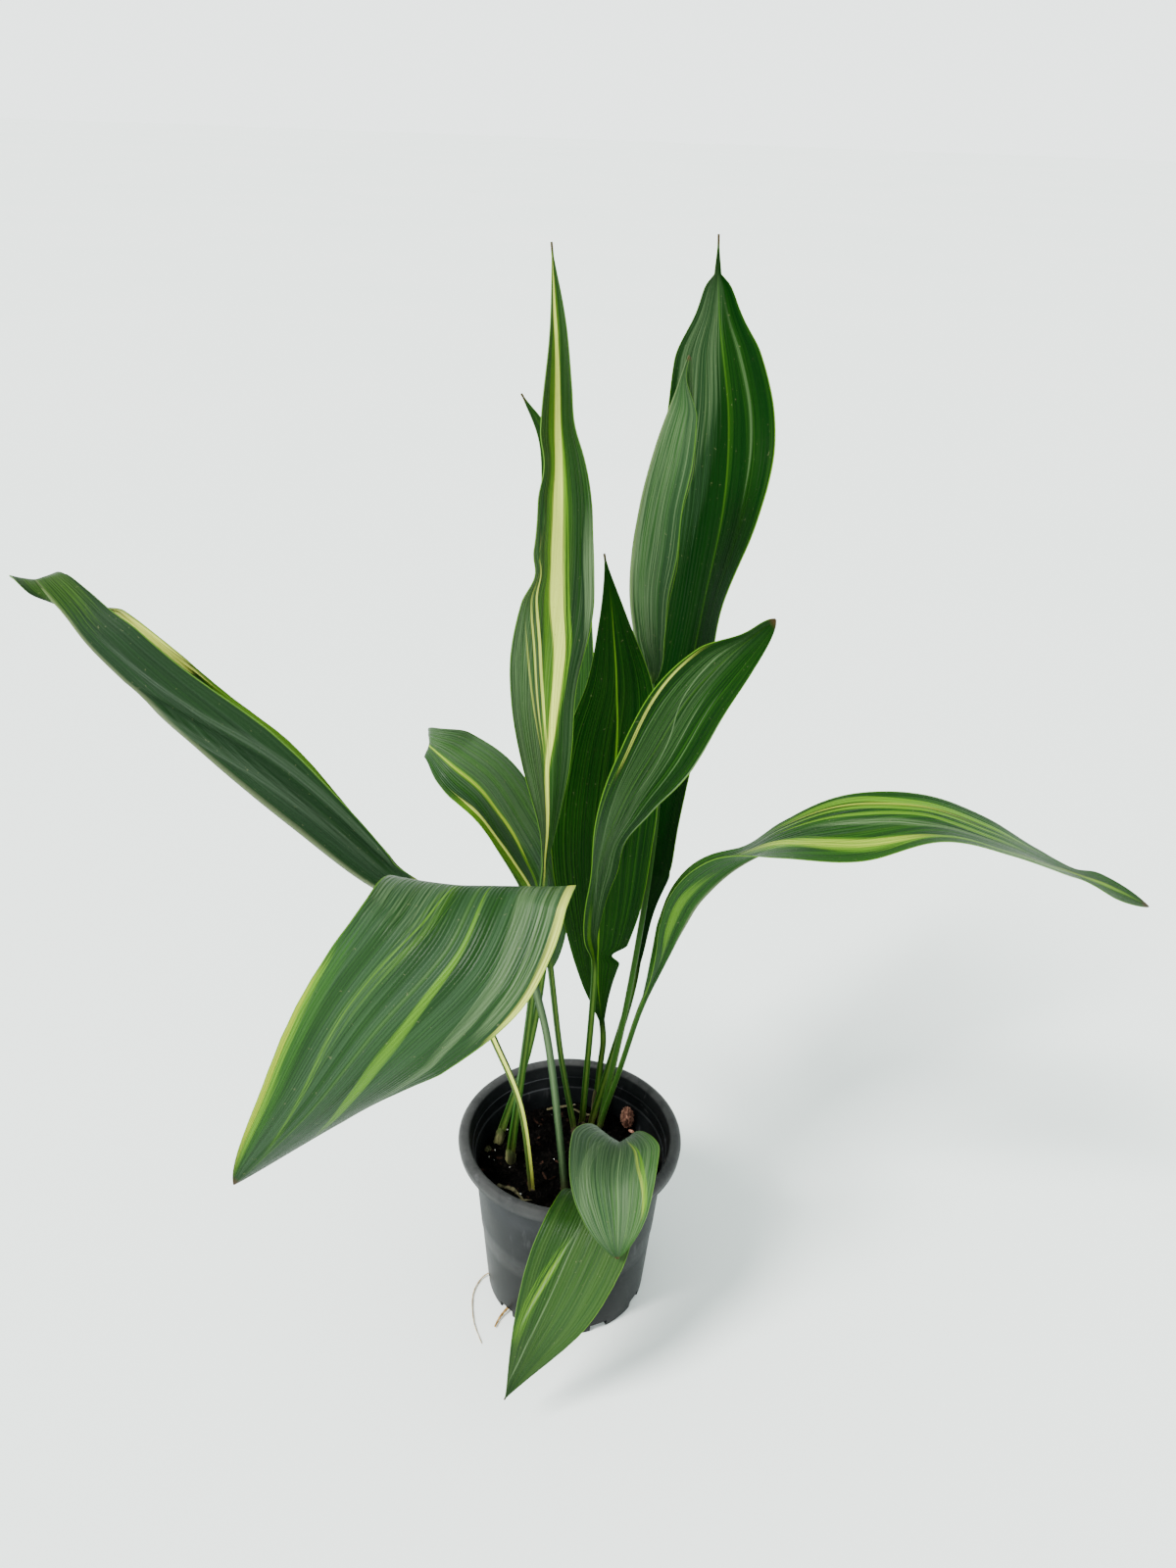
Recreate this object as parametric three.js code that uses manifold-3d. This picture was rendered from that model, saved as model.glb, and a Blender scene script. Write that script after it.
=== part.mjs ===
// A variegated cast iron plant growing in a round nursery pot.
// Millimetres, +Z up. The origin is the middle of the pot's flat base.
// Leaf directions: a leaf's right half is the one on the right when its tip points up
// and its upper face is towards the reader.

import * as THREE from 'three';
import { mergeVertices } from 'three/addons/utils/BufferGeometryUtils.js';
import Module from 'manifold-3d';

const wasm = await Module();
wasm.setup();

// ---- driving dimensions ----

const seatGap = 0.3;

const pot = {
  height: 152.5,
  rimRadius: 85,
  lipWidth: 9,
  lipDepth: 10,
  lipRise: 5,
  lipUndercut: 1.5,
  neckRise: 2.5,
  neckRadius: 73.5,
  baseRadius: 62.7,
  cornerRadius: 1.5,
  wall: 1.5,
  floor: 2,
  innerCorner: 3,
  innerStepHeight: 131,
  innerStepDepth: 2,
  innerStepWidth: 2.1,
  bandHeight: 66,
  bandStep: 0.5,
  segments: 52,
};

const slot = {
  count: 10,
  firstAngle: 8,
  width: 14,
  height: 7,
  depth: 5,
};

const soil = {
  level: 114,
  edgeDrop: 5,
  facetRoom: 0.35,
  bumps: 2.2,
  rings: 6,
  segments: 32,
};

const blade = {
  thickness: 0.8,
  buriedLengths: [0, 14, 28, 42],
  footReach: 90,
  tipWidth: 1,
  ribFading: 1.3,
  mostBunching: 2.2,
  petioleRings: 6,
  bladeRings: 17,
  halfPoints: 3,
  petioleDepth: 0.85,
};

// Each leaf is one solid: petiole and blade swept along one spine, from inside the soil to the tip.
// A station is [x, y, z, turn, left, right]. Turn rolls the blade about its spine, and left and
// right are how far each half folds up towards the upper face by its edge, in degrees.
// width is the blade's greatest width, widest is where that is along the blade (0 base, 1 tip),
// taper is how quickly it narrows, crease is the share of the folding done at the midrib,
// side is the way the right half points before turning, and ruffle is [depth, waves, phase].
// A bite is [half, where, reach, depth]: the left (-1) or right (1) margin is drawn in there by
// that share of the half's width. drip is the [length, width] of a drawn-out tip.
const leafPlans = {
  leaf_far_left: {
    side: [-0.6, -0.5, -0.6], bladeFrom: 5, width: 81, widest: 0.44, taper: 1.6, crease: 0.85,
    stem: 5.4, foot: 6, ruffle: { left: [1.5, 3, 0], right: [2, 3, 1] },
    bites: [[-1, 0.79, 0.1, 0.2], [1, 0.82, 0.08, 0.8]],
    stations: [
      [-26, -25, 85, 120, 20, 20],
      [-26, -25, 114, 120, 20, 20],
      [-35, -27, 199, 120, 20, 20],
      [-55, -25, 260, 120, 20, 20],
      [-87, -15, 331, 120, 40, 40],
      [-97, -10, 365, 105, 70, 45],
      [-137, -6, 373, 110, 90, 55],
      [-191, -2, 416, 110, 95, 60],
      [-244, 2, 464, 115, 95, 70],
      [-303, 6, 526, 115, 90, 85],
      [-325, 12, 553, 60, 60, 90],
      [-342, 18, 571, 0, 35, -45],
      [-353, 44, 561, 0, 20, -45],
      [-354, 64, 547, 0, 20, -45],
    ],
  },
  leaf_front_left: {
    side: [-1, 0, 0], bladeFrom: 4, width: 110, widest: 0.38, taper: 1.2, crease: 0.4,
    stem: 5.4, foot: 6, ruffle: { left: [1, 2, 0], right: [1, 2, 2] },
    stations: [
      [-2, -26, 85, 0, 20, 20],
      [-2, -26, 114, 0, 20, 20],
      [-15, -32, 248, 0, 20, 20],
      [-25, -36, 308, 0, 20, 20],
      [-37, -44, 358, 0, 20, 20],
      [-47, -62, 402, 0, 10, 10],
      [-57, -100, 435, 0, -5, -5],
      [-74, -138, 415, 5, -5, 10],
      [-112, -160, 374, -5, -30, 0],
      [-151, -176, 324, 10, -50, -5],
      [-195, -188, 279, 20, -50, -15],
    ],
  },
  leaf_tall_left: {
    side: [1, 0, 0], bladeFrom: 3, width: 53, widest: 0.5, taper: 3.1, crease: 0.5,
    stem: 5.6, foot: 8, ruffle: { left: [3, 4, 0], right: [4, 4, 2] },
    bites: [[-1, 0.545, 0.04, 0.25], [-1, 0.7, 0.05, 0.3], [1, 0.76, 0.05, 0.1]],
    stations: [
      [-46, 3, 85, -20, 20, 20],
      [-46, 3, 114, -20, 20, 20],
      [-32, 0, 258, -20, 20, 20],
      [-24, -2, 370, -20, 20, 20],
      [-23, -2, 396, -25, 30, 25],
      [-22, 0, 430, -25, 25, 25],
      [-27, 4, 505, -25, 10, 25],
      [-24, 10, 567, -30, 25, 20],
      [-21, 18, 626, -20, 60, 45],
      [-22, 28, 682, -5, 70, 70],
      [-23, 40, 731, -5, 60, 60],
      [-28, 52, 774, 0, 20, 20],
    ],
  },
  leaf_behind_left: {
    side: [1, 0, 0], bladeFrom: 3, width: 48, widest: 0.45, taper: 2, crease: 0.5,
    stem: 5.2, foot: 7.5, ruffle: { left: [1.5, 3, 0], right: [1.5, 3, 2] },
    stations: [
      [-57, 23, 85, 0, 20, 20],
      [-57, 23, 114, 0, 20, 20],
      [-34, 30, 203, 0, 20, 20],
      [-24, 40, 277, 0, 20, 20],
      [-22, 54, 333, 0, 20, 20],
      [-21, 64, 369, 10, 20, 20],
      [-16, 82, 440, 20, 20, 20],
      [-14, 94, 511, 20, 20, 20],
      [-19, 100, 580, 10, 20, 20],
      [-29, 104, 644, 0, 30, 30],
      [-48, 108, 678, 0, 30, 30],
    ],
  },
  leaf_dark_middle: {
    side: [1, 0, 0], bladeFrom: 3, width: 74, widest: 0.52, taper: 3, crease: 0.5,
    stem: 5.2, foot: 5.6, ruffle: { left: [1.5, 3, 1], right: [2, 3, 2] },
    bites: [[1, 0.215, 0.025, 0.45]],
    stations: [
      [19, 55, 85, 0, 10, 10],
      [19, 55, 114, 0, 10, 10],
      [22, 55, 170, 0, 10, 10],
      [23, 50, 204, -5, 10, 10],
      [17, 42, 261, -10, 15, 5],
      [16, 38, 324, -10, 20, 10],
      [15, 38, 387, -5, 15, 15],
      [19, 42, 454, 5, 15, 20],
      [23, 47, 502, 5, 20, 25],
      [17, 52, 548, 5, 30, 35],
      [9, 58, 590, 0, 30, 30],
    ],
  },
  leaf_narrow_folded: {
    side: [1, 0, 0], bladeFrom: 6, width: 62, widest: 0.5, taper: 1.2, crease: 0.85,
    stem: 5.2, foot: 5.4, ruffle: { left: [1, 3, 0], right: [1.5, 3, 1] },
    bites: [[-1, 0.97, 0.12, 0.8], [1, 0.95, 0.15, 0.35]],
    stations: [
      [24, 43, 85, -30, 20, 20],
      [24, 43, 114, -30, 20, 20],
      [32, 38, 179, -60, 20, 20],
      [42, 42, 253, -70, 20, 20],
      [52, 49, 356, -85, 20, 20],
      [54, 59, 424, -85, 30, 30],
      [45, 74, 493, -85, 60, 60],
      [34, 80, 527, -85, 70, 75],
      [29, 86, 565, -85, 70, 75],
      [32, 90, 610, -90, 65, 80],
      [40, 92, 651, -90, 65, 80],
      [51, 94, 687, -90, 60, 75],
      [57, 92, 708, -90, 50, 50],
    ],
  },
  leaf_tall_right: {
    side: [1, 0, 0], bladeFrom: 3, width: 87, widest: 0.67, taper: 1.9, crease: 0.5,
    stem: 5.6, foot: 5.6, drip: [26, 6], ruffle: { left: [2, 3, 0], right: [2, 3, 2] },
    bites: [[-1, 0.92, 0.06, 0.3], [1, 0.92, 0.06, 0.2]],
    stations: [
      [16, 44, 85, 0, 20, 20],
      [16, 44, 114, 0, 20, 20],
      [28, 47, 172, 0, 20, 20],
      [44, 55, 248, 0, 20, 20],
      [54, 74, 330, 0, 20, 20],
      [55, 80, 342, 5, 30, 35],
      [58, 94, 381, 20, 30, 40],
      [69, 116, 461, 35, 25, 40],
      [79, 132, 531, 45, 15, 40],
      [87, 144, 598, 30, 15, 30],
      [86, 154, 655, 10, 10, 20],
      [79, 162, 710, 5, 20, 25],
      [76, 172, 771, 0, 30, 30],
    ],
  },
  leaf_small_left: {
    side: [0.75, 0.3, 0.4], bladeFrom: 3, width: 57, widest: 0.55, taper: 1.3, crease: 0.5,
    stem: 4.6, foot: 5, ruffle: { left: [1, 2, 0], right: [1, 2, 2] },
    bites: [[-1, 0.84, 0.13, 0.55], [1, 0.91, 0.13, 0.6]],
    stations: [
      [4, 35, 85, 0, 20, 20],
      [4, 35, 114, 0, 20, 20],
      [-9, 30, 200, 0, 20, 20],
      [-18, 26, 284, -5, 25, 20],
      [-24, 26, 332, -15, 30, 20],
      [-30, 27, 364, -25, 40, 20],
      [-51, 30, 402, -15, 60, 10],
      [-68, 34, 428, -10, 55, 15],
      [-89, 38, 445, 0, 45, 10],
      [-106, 50, 453, 50, 20, 15],
      [-98, 74, 433, 50, 20, 20],
    ],
  },
  leaf_arching_right: {
    side: [0, -1, 0], bladeFrom: 3, width: 64, widest: 0.55, taper: 1.7, crease: 0.7,
    stem: 4.8, foot: 5.4, ruffle: { left: [1, 3, 0], right: [1, 3, 2] },
    stations: [
      [20, 36, 85, 0, 20, 20],
      [20, 36, 114, 0, 20, 20],
      [36, 30, 191, 0, 20, 20],
      [49, 25, 255, -5, 20, 20],
      [66, 20, 308, -5, 60, 65],
      [74, 18, 331, 0, 90, 90],
      [85, 16, 357, 10, 80, 80],
      [107, 12, 387, 20, 15, 40],
      [138, 8, 408, 5, 5, 15],
      [183, 4, 421, -10, 20, 10],
      [231, 2, 431, 0, 15, 10],
      [276, 2, 420, 5, 10, 10],
      [316, 4, 403, 10, 5, 10],
      [340, 6, 393, 5, 5, 10],
      [369, 8, 380, -5, 10, 5],
      [394, 10, 368, -10, 15, 5],
    ],
  },
  leaf_middle_right: {
    side: [1, 0, 0], bladeFrom: 3, width: 54, widest: 0.64, taper: 1.9, crease: 0.5,
    stem: 5, foot: 5.4, ruffle: { left: [1, 3, 0], right: [1, 3, 2] },
    bites: [[-1, 0.95, 0.08, 0.55], [1, 0.38, 0.1, 0.25]],
    stations: [
      [9, 43, 85, 0, 20, 20],
      [9, 43, 114, 0, 20, 20],
      [11, 38, 173, 0, 20, 20],
      [14, 26, 282, -10, 25, 15],
      [9, 18, 324, -30, 40, 20],
      [11, 8, 376, -40, 50, 20],
      [24, -6, 435, -25, 35, 10],
      [45, -16, 487, -10, 25, 20],
      [64, -22, 528, 0, 20, 20],
      [86, -24, 557, 5, 30, 20],
      [111, -22, 580, 0, 30, 20],
    ],
  },
  leaf_front_small: {
    side: [-1, 0, 0], bladeFrom: 2, width: 70, widest: 0.47, taper: 1.5, crease: 0.7,
    stem: 4.4, foot: 4.8, ruffle: { left: [0.5, 2, 0], right: [0.5, 2, 2] },
    bites: [[-1, 0.33, 0.2, 0.75], [1, 0.34, 0.18, 0.5]],
    stations: [
      [30, 4, 85, 0, 20, 20],
      [30, 4, 114, 0, 20, 20],
      [38, -14, 138, 0, 30, 30],
      [39, -34, 169, 0, 40, 40],
      [35, -50, 189, 0, 40, 35],
      [31, -80, 187, -5, 20, 30],
      [33, -102, 173, -5, 10, 20],
      [36, -118, 149, -5, 10, 15],
    ],
  },
  leaf_front_hanging: {
    side: [-1, 0, 0], bladeFrom: 2, width: 64, widest: 0.37, taper: 1.9, crease: 0.5,
    stem: 4.8, foot: 5.2, ruffle: { left: [1, 2, 0], right: [1, 2, 2] },
    stations: [
      [20, -34, 85, -5, 20, 15],
      [20, -34, 114, -5, 20, 15],
      [23, -52, 138, -5, 20, 15],
      [23, -72, 161, -5, 20, 15],
      [17, -95, 155, 0, 15, 15],
      [6, -112, 136, 0, 15, 15],
      [-6, -126, 111, 0, 15, 15],
      [-20, -137, 81, 5, 15, 15],
      [-39, -148, 38, 5, 15, 15],
    ],
  },
};

const barkChunk = {
  size: [9, 7, 17],
  place: [41, 45, 121],
  tilt: [0.25, -0.35, 0.4],
};

const rootShape = {
  sides: 8,
  steps: 24,
  thinning: 0.55,
};

const roots = {
  root_thin: {
    radius: 0.8,
    points: [
      [-51, -7, 3.8],
      [-60, -8.5, 3.6],
      [-68, -14, 1.6],
      [-73, -30, 1.3],
      [-70, -54, 1.3],
      [-62, -74, 1.1],
    ],
  },
  root_stub: {
    radius: 1.7,
    points: [
      [-36, -35, 4.6],
      [-41, -40, 4.5],
      [-45, -44, 4],
      [-50, -51, 2.4],
      [-53, -59, 1.8],
    ],
  },
};

const colours = {
  pot: 0x2c2d2f,
  soil: 0x1a1410,
  leaf: 0x2f5f34,
  bark: 0x6b3d2a,
  root: 0xc9b48c,
};

// ---- shared helpers ----

const degrees = Math.PI / 180;

function clamp(value, low, high) {
  return Math.min(high, Math.max(low, value));
}

function closedSolid(geometry) {
  const bare = new THREE.BufferGeometry();
  bare.setAttribute('position', geometry.getAttribute('position'));
  bare.setIndex(geometry.getIndex());
  const merged = mergeVertices(bare, 1e-4);
  const positions = merged.getAttribute('position').array;
  const corners = merged.getIndex().array;
  const kept = [];
  for (let i = 0; i < corners.length; i += 3) {
    const [a, b, c] = [corners[i], corners[i + 1], corners[i + 2]];
    if (a !== b && b !== c && c !== a) kept.push(a, b, c);
  }
  if (signedVolume(positions, kept) < 0) kept.reverse();
  return new wasm.Manifold(new wasm.Mesh({
    numProp: 3,
    vertProperties: Float32Array.from(positions),
    triVerts: Uint32Array.from(kept),
  }));
}

function signedVolume(positions, corners) {
  const [a, b, c] = [new THREE.Vector3(), new THREE.Vector3(), new THREE.Vector3()];
  let volume = 0;
  for (let i = 0; i < corners.length; i += 3) {
    a.fromArray(positions, corners[i] * 3);
    b.fromArray(positions, corners[i + 1] * 3);
    c.fromArray(positions, corners[i + 2] * 3);
    volume += a.dot(b.cross(c)) / 6;
  }
  return volume;
}

function solidToGeometry(solid) {
  const mesh = solid.getMesh();
  const geometry = new THREE.BufferGeometry();
  geometry.setAttribute('position', new THREE.Float32BufferAttribute(mesh.vertProperties, 3));
  geometry.setIndex(Array.from(mesh.triVerts));
  geometry.computeVertexNormals();
  return geometry;
}

function turnAroundZ(profile, segments) {
  const geometry = new THREE.LatheGeometry(profile, segments);
  geometry.rotateX(Math.PI / 2);
  return closedSolid(geometry);
}

function makeNode(name, solid, colour, roughness) {
  const material = new THREE.MeshStandardMaterial({ color: colour, roughness, metalness: 0 });
  const node = new THREE.Mesh(solidToGeometry(solid), material);
  node.name = name;
  return node;
}

// ---- pot ----

const neckHeight = pot.height - pot.lipDepth - pot.neckRise;

function wallRadius(z) {
  const step = z > pot.bandHeight ? pot.bandStep : 0;
  const slope = (pot.neckRadius - pot.bandStep - pot.baseRadius) / neckHeight;
  return pot.baseRadius + slope * z + step;
}

function arcPoints(centre, radiusX, radiusY, from, to, steps) {
  const points = [];
  for (let i = 0; i <= steps; i += 1) {
    const angle = (from + ((to - from) * i) / steps) * degrees;
    points.push(new THREE.Vector2(
      centre.x + radiusX * Math.cos(angle),
      centre.y + radiusY * Math.sin(angle),
    ));
  }
  return points;
}

function potProfile() {
  const corner = pot.cornerRadius;
  const lipBottom = pot.height - pot.lipDepth;
  const lipCentre = new THREE.Vector2(pot.rimRadius - pot.lipWidth / 2, pot.height - pot.lipRise);
  const baseCorner = new THREE.Vector2(pot.baseRadius - corner, corner);
  const innerRadius = (z) => wallRadius(z) - pot.wall;
  const stepTop = pot.innerStepHeight;
  const stepBottom = stepTop - pot.innerStepDepth;
  return [
    new THREE.Vector2(0, 0),
    ...arcPoints(baseCorner, corner, corner, -90, 0, 3),
    new THREE.Vector2(wallRadius(pot.bandHeight), pot.bandHeight),
    new THREE.Vector2(wallRadius(pot.bandHeight + 1), pot.bandHeight + 1),
    new THREE.Vector2(wallRadius(neckHeight), neckHeight),
    new THREE.Vector2(pot.rimRadius - pot.lipUndercut, lipBottom),
    ...arcPoints(lipCentre, pot.lipWidth / 2, pot.lipRise, 0, 180, 8),
    new THREE.Vector2(pot.rimRadius - pot.lipWidth - pot.lipUndercut, lipBottom),
    new THREE.Vector2(innerRadius(stepTop) + pot.innerStepWidth, stepTop),
    new THREE.Vector2(innerRadius(stepBottom), stepBottom),
    new THREE.Vector2(innerRadius(pot.floor + pot.innerCorner), pot.floor + pot.innerCorner),
    new THREE.Vector2(innerRadius(pot.floor) - pot.innerCorner, pot.floor),
    new THREE.Vector2(0, pot.floor),
  ];
}

function drainSlots() {
  const cutters = [];
  for (let i = 0; i < slot.count; i += 1) {
    const box = new THREE.BoxGeometry(slot.depth * 2, slot.width, slot.height * 2);
    box.translate(pot.baseRadius, 0, 0);
    box.rotateZ(slot.firstAngle * degrees + (i * 2 * Math.PI) / slot.count);
    cutters.push(closedSolid(box));
  }
  return wasm.Manifold.union(cutters);
}

function makePot() {
  return turnAroundZ(potProfile(), pot.segments).subtract(drainSlots());
}

// ---- leaves ----

// The blade's outline: 0 at the base and tip, 1 at its widest.
function outline(along, widest, taper) {
  const v = clamp(along, 0, 1);
  return ((v / widest) ** widest * ((1 - v) / (1 - widest)) ** (1 - widest)) ** taper;
}

function spineOf(plan) {
  const stepsPerSpan = 40;
  const places = new THREE.CatmullRomCurve3(
    plan.stations.map(([x, y, z]) => new THREE.Vector3(x, y, z)), false, 'catmullrom', 0.5);
  const angles = new THREE.CatmullRomCurve3(
    plan.stations.map((station) => new THREE.Vector3(...station.slice(3))), false, 'catmullrom', 0.5);
  const count = (plan.stations.length - 1) * stepsPerSpan;
  const samples = [];
  let length = 0;
  for (let i = 0; i <= count; i += 1) {
    const place = places.getPoint(i / count);
    if (i > 0) length += place.distanceTo(samples[i - 1].place);
    samples.push({ place, angles: angles.getPoint(i / count), length });
  }
  return { samples, total: length, bladeStart: samples[plan.bladeFrom * stepsPerSpan].length };
}

function sampleAt(spine, length) {
  const wanted = clamp(length, 0, spine.total);
  const next = Math.max(1, spine.samples.findIndex((sample) => sample.length >= wanted - 1e-9));
  const [low, high] = [spine.samples[next - 1], spine.samples[next]];
  const share = (wanted - low.length) / (high.length - low.length);
  return {
    place: low.place.clone().lerp(high.place, share),
    angles: low.angles.clone().lerp(high.angles, share),
  };
}

// Distance gone sideways and upwards when the heading grows evenly from start to end.
function foldedReach(u, start, end) {
  const growth = end - start;
  if (Math.abs(growth) < 1e-4) return [u * Math.cos(start), u * Math.sin(start)];
  const heading = start + growth * u;
  return [(Math.sin(heading) - Math.sin(start)) / growth, (Math.cos(start) - Math.cos(heading)) / growth];
}

function ruffleHeight(plan, half, along, u) {
  const [depth, waves, phase] = plan.ruffle[half];
  return depth * u * u * Math.sin(2 * Math.PI * waves * along + phase) * Math.sin(Math.PI * along);
}

// The share of its width that a half keeps where bites draw its margin in.
function halfShare(plan, sign, along) {
  let share = 1;
  (plan.bites ?? []).forEach(([half, where, reach, depth]) => {
    const away = clamp(Math.abs(along - where) / reach, 0, 1);
    if (half === sign) share *= 1 - depth * Math.cos((away * Math.PI) / 2) ** 2;
  });
  return share;
}

// One cross-section: upper points from the left edge to the right edge, then lower points back.
function leafSection(plan, spine, length, grow) {
  const { place, angles } = sampleAt(spine, length);
  const reach = 2;
  const ahead = sampleAt(spine, length + reach).place;
  const tangent = ahead.sub(sampleAt(spine, length - reach).place).normalize();
  const side0 = new THREE.Vector3(...plan.side);
  side0.addScaledVector(tangent, -tangent.dot(side0)).normalize();
  const up0 = side0.clone().cross(tangent);
  const turn = angles.x * degrees;
  const side = side0.clone().multiplyScalar(Math.cos(turn)).addScaledVector(up0, Math.sin(turn));
  const up = up0.clone().multiplyScalar(Math.cos(turn)).addScaledVector(side0, -Math.sin(turn));

  const bladeLength = spine.total - spine.bladeStart;
  const along = clamp((length - spine.bladeStart) / bladeLength, 0, 1);
  const [dripLength, dripWidth] = plan.drip ?? [0, 0];
  const outlineAlong = (length - spine.bladeStart) / (bladeLength - dripLength);
  const dripShare = clamp(((1 - along) * bladeLength) / Math.max(dripLength, 1), 0, 1) ** 1.5;
  const footShare = Math.max(0, 1 - length / blade.footReach);
  const stemWidth = plan.stem + (plan.foot - plan.stem) * footShare;
  const ribWidth = blade.tipWidth + (stemWidth - blade.tipWidth) * (1 - along);
  const ownWidth = (plan.width - dripWidth) * outline(outlineAlong, plan.widest, plan.taper);
  const bladeWidth = ownWidth + dripWidth * dripShare * along;
  const width = Math.max(bladeWidth, ribWidth) + 2 * grow;
  const ribDepth = (blade.petioleDepth * stemWidth - blade.thickness) * (1 - along) ** blade.ribFading;
  const ribHalf = Math.min(width, ribWidth + 2 * grow) / 2;
  const wantedBunching = Math.log(width / 2 / ribHalf) / Math.log(blade.halfPoints);
  const bunching = clamp(wantedBunching, 1, blade.mostBunching);

  const upper = [];
  const lower = [];
  for (let i = -blade.halfPoints; i <= blade.halfPoints; i += 1) {
    const half = i < 0 ? 'left' : 'right';
    const sign = i < 0 ? -1 : 1;
    const u = (Math.abs(i) / blade.halfPoints) ** bunching;
    const fold = (i < 0 ? angles.y : angles.z) * degrees;
    const start = fold * plan.crease;
    const [across, rise] = foldedReach(u, start, fold);
    const heading = i === 0 ? 0 : start + (fold - start) * u;
    const normal = up.clone().multiplyScalar(Math.cos(heading));
    normal.addScaledVector(side, -sign * Math.sin(heading));
    const room = (width / 2) * halfShare(plan, sign, along);
    const point = place.clone()
      .addScaledVector(side, sign * across * room)
      .addScaledVector(up, rise * room + ruffleHeight(plan, half, along, u));
    const ribShare = Math.sqrt(Math.max(0, 1 - ((u * width) / 2 / ribHalf) ** 2));
    const thickness = blade.thickness + ribDepth * ribShare;
    upper.push(point.clone().addScaledVector(normal, grow));
    lower.push(point.clone().addScaledVector(normal, -thickness - grow));
  }
  return { upper, lower };
}

// Joins sections into one closed skin, split alike on the upper and lower face.
function skinSections(sections) {
  const across = sections[0].upper.length;
  const positions = [];
  sections.forEach(({ upper, lower }) => {
    [...upper, ...lower].forEach((point) => positions.push(point.x, point.y, point.z));
  });
  const upperIndex = (ring, i) => ring * 2 * across + i;
  const lowerIndex = (ring, i) => ring * 2 * across + across + i;
  const corners = [];
  for (let ring = 0; ring < sections.length - 1; ring += 1) {
    for (let i = 0; i < across - 1; i += 1) {
      const [a, b] = [upperIndex(ring, i), upperIndex(ring, i + 1)];
      const [c, d] = [upperIndex(ring + 1, i + 1), upperIndex(ring + 1, i)];
      corners.push(a, b, c, a, c, d);
      const [e, f] = [lowerIndex(ring, i), lowerIndex(ring, i + 1)];
      const [g, h] = [lowerIndex(ring + 1, i + 1), lowerIndex(ring + 1, i)];
      corners.push(e, g, f, e, h, g);
    }
    const last = across - 1;
    corners.push(upperIndex(ring, 0), upperIndex(ring + 1, 0), lowerIndex(ring + 1, 0));
    corners.push(upperIndex(ring, 0), lowerIndex(ring + 1, 0), lowerIndex(ring, 0));
    corners.push(upperIndex(ring, last), lowerIndex(ring, last), lowerIndex(ring + 1, last));
    corners.push(upperIndex(ring, last), lowerIndex(ring + 1, last), upperIndex(ring + 1, last));
  }
  const end = sections.length - 1;
  for (let i = 0; i < across - 1; i += 1) {
    corners.push(upperIndex(0, i), lowerIndex(0, i), lowerIndex(0, i + 1));
    corners.push(upperIndex(0, i), lowerIndex(0, i + 1), upperIndex(0, i + 1));
    corners.push(upperIndex(end, i), lowerIndex(end, i + 1), lowerIndex(end, i));
    corners.push(upperIndex(end, i), upperIndex(end, i + 1), lowerIndex(end, i + 1));
  }
  const geometry = new THREE.BufferGeometry();
  geometry.setAttribute('position', new THREE.Float32BufferAttribute(positions, 3));
  geometry.setIndex(corners);
  return closedSolid(geometry);
}

function makeLeaf(plan) {
  const spine = spineOf(plan);
  const sections = blade.buriedLengths.map((length) => leafSection(plan, spine, length, 0));
  const open = blade.buriedLengths.at(-1);
  for (let i = 1; i < blade.petioleRings; i += 1) {
    const length = open + ((spine.bladeStart - open) * i) / blade.petioleRings;
    sections.push(leafSection(plan, spine, length, 0));
  }
  for (let i = 0; i <= blade.bladeRings; i += 1) {
    const length = spine.bladeStart + ((spine.total - spine.bladeStart) * i) / blade.bladeRings;
    sections.push(leafSection(plan, spine, length, 0));
  }
  return skinSections(sections);
}

// The plain hole that a leaf's foot stands in: its buried part, larger all round by the seat gap.
function stemHole(plan) {
  const spine = spineOf(plan);
  const sections = blade.buriedLengths.map((length) => leafSection(plan, spine, length, seatGap));
  const start = new THREE.Vector3(0, 0, -seatGap);
  sections.unshift({
    upper: sections[0].upper.map((point) => point.clone().add(start)),
    lower: sections[0].lower.map((point) => point.clone().add(start)),
  });
  return skinSections(sections);
}

// ---- bark, roots and soil ----

function makeBark(grow) {
  const [width, depth, height] = barkChunk.size;
  const chunk = new THREE.IcosahedronGeometry(1, 1);
  chunk.scale(width / 2 + grow, depth / 2 + grow, height / 2 + grow);
  chunk.applyMatrix4(new THREE.Matrix4().makeRotationFromEuler(new THREE.Euler(...barkChunk.tilt)));
  chunk.translate(...barkChunk.place);
  return closedSolid(chunk);
}

function makeRoot(plan, grow) {
  const path = new THREE.CatmullRomCurve3(
    plan.points.map((point) => new THREE.Vector3(...point)), false, 'catmullrom', 0.5);
  const { sides, steps, thinning } = rootShape;
  const frames = path.computeFrenetFrames(steps, false);
  const rings = [];
  for (let i = 0; i <= steps; i += 1) {
    const centre = path.getPointAt(i / steps);
    const radius = plan.radius * (1 - (thinning * i) / steps) + grow;
    const ring = [];
    for (let k = 0; k < sides; k += 1) {
      const angle = (2 * Math.PI * k) / sides;
      ring.push(centre.clone()
        .addScaledVector(frames.normals[i], radius * Math.cos(angle))
        .addScaledVector(frames.binormals[i], radius * Math.sin(angle)));
    }
    rings.push(ring);
  }
  return skinRings(rings, path.getPointAt(0), path.getPointAt(1));
}

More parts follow.
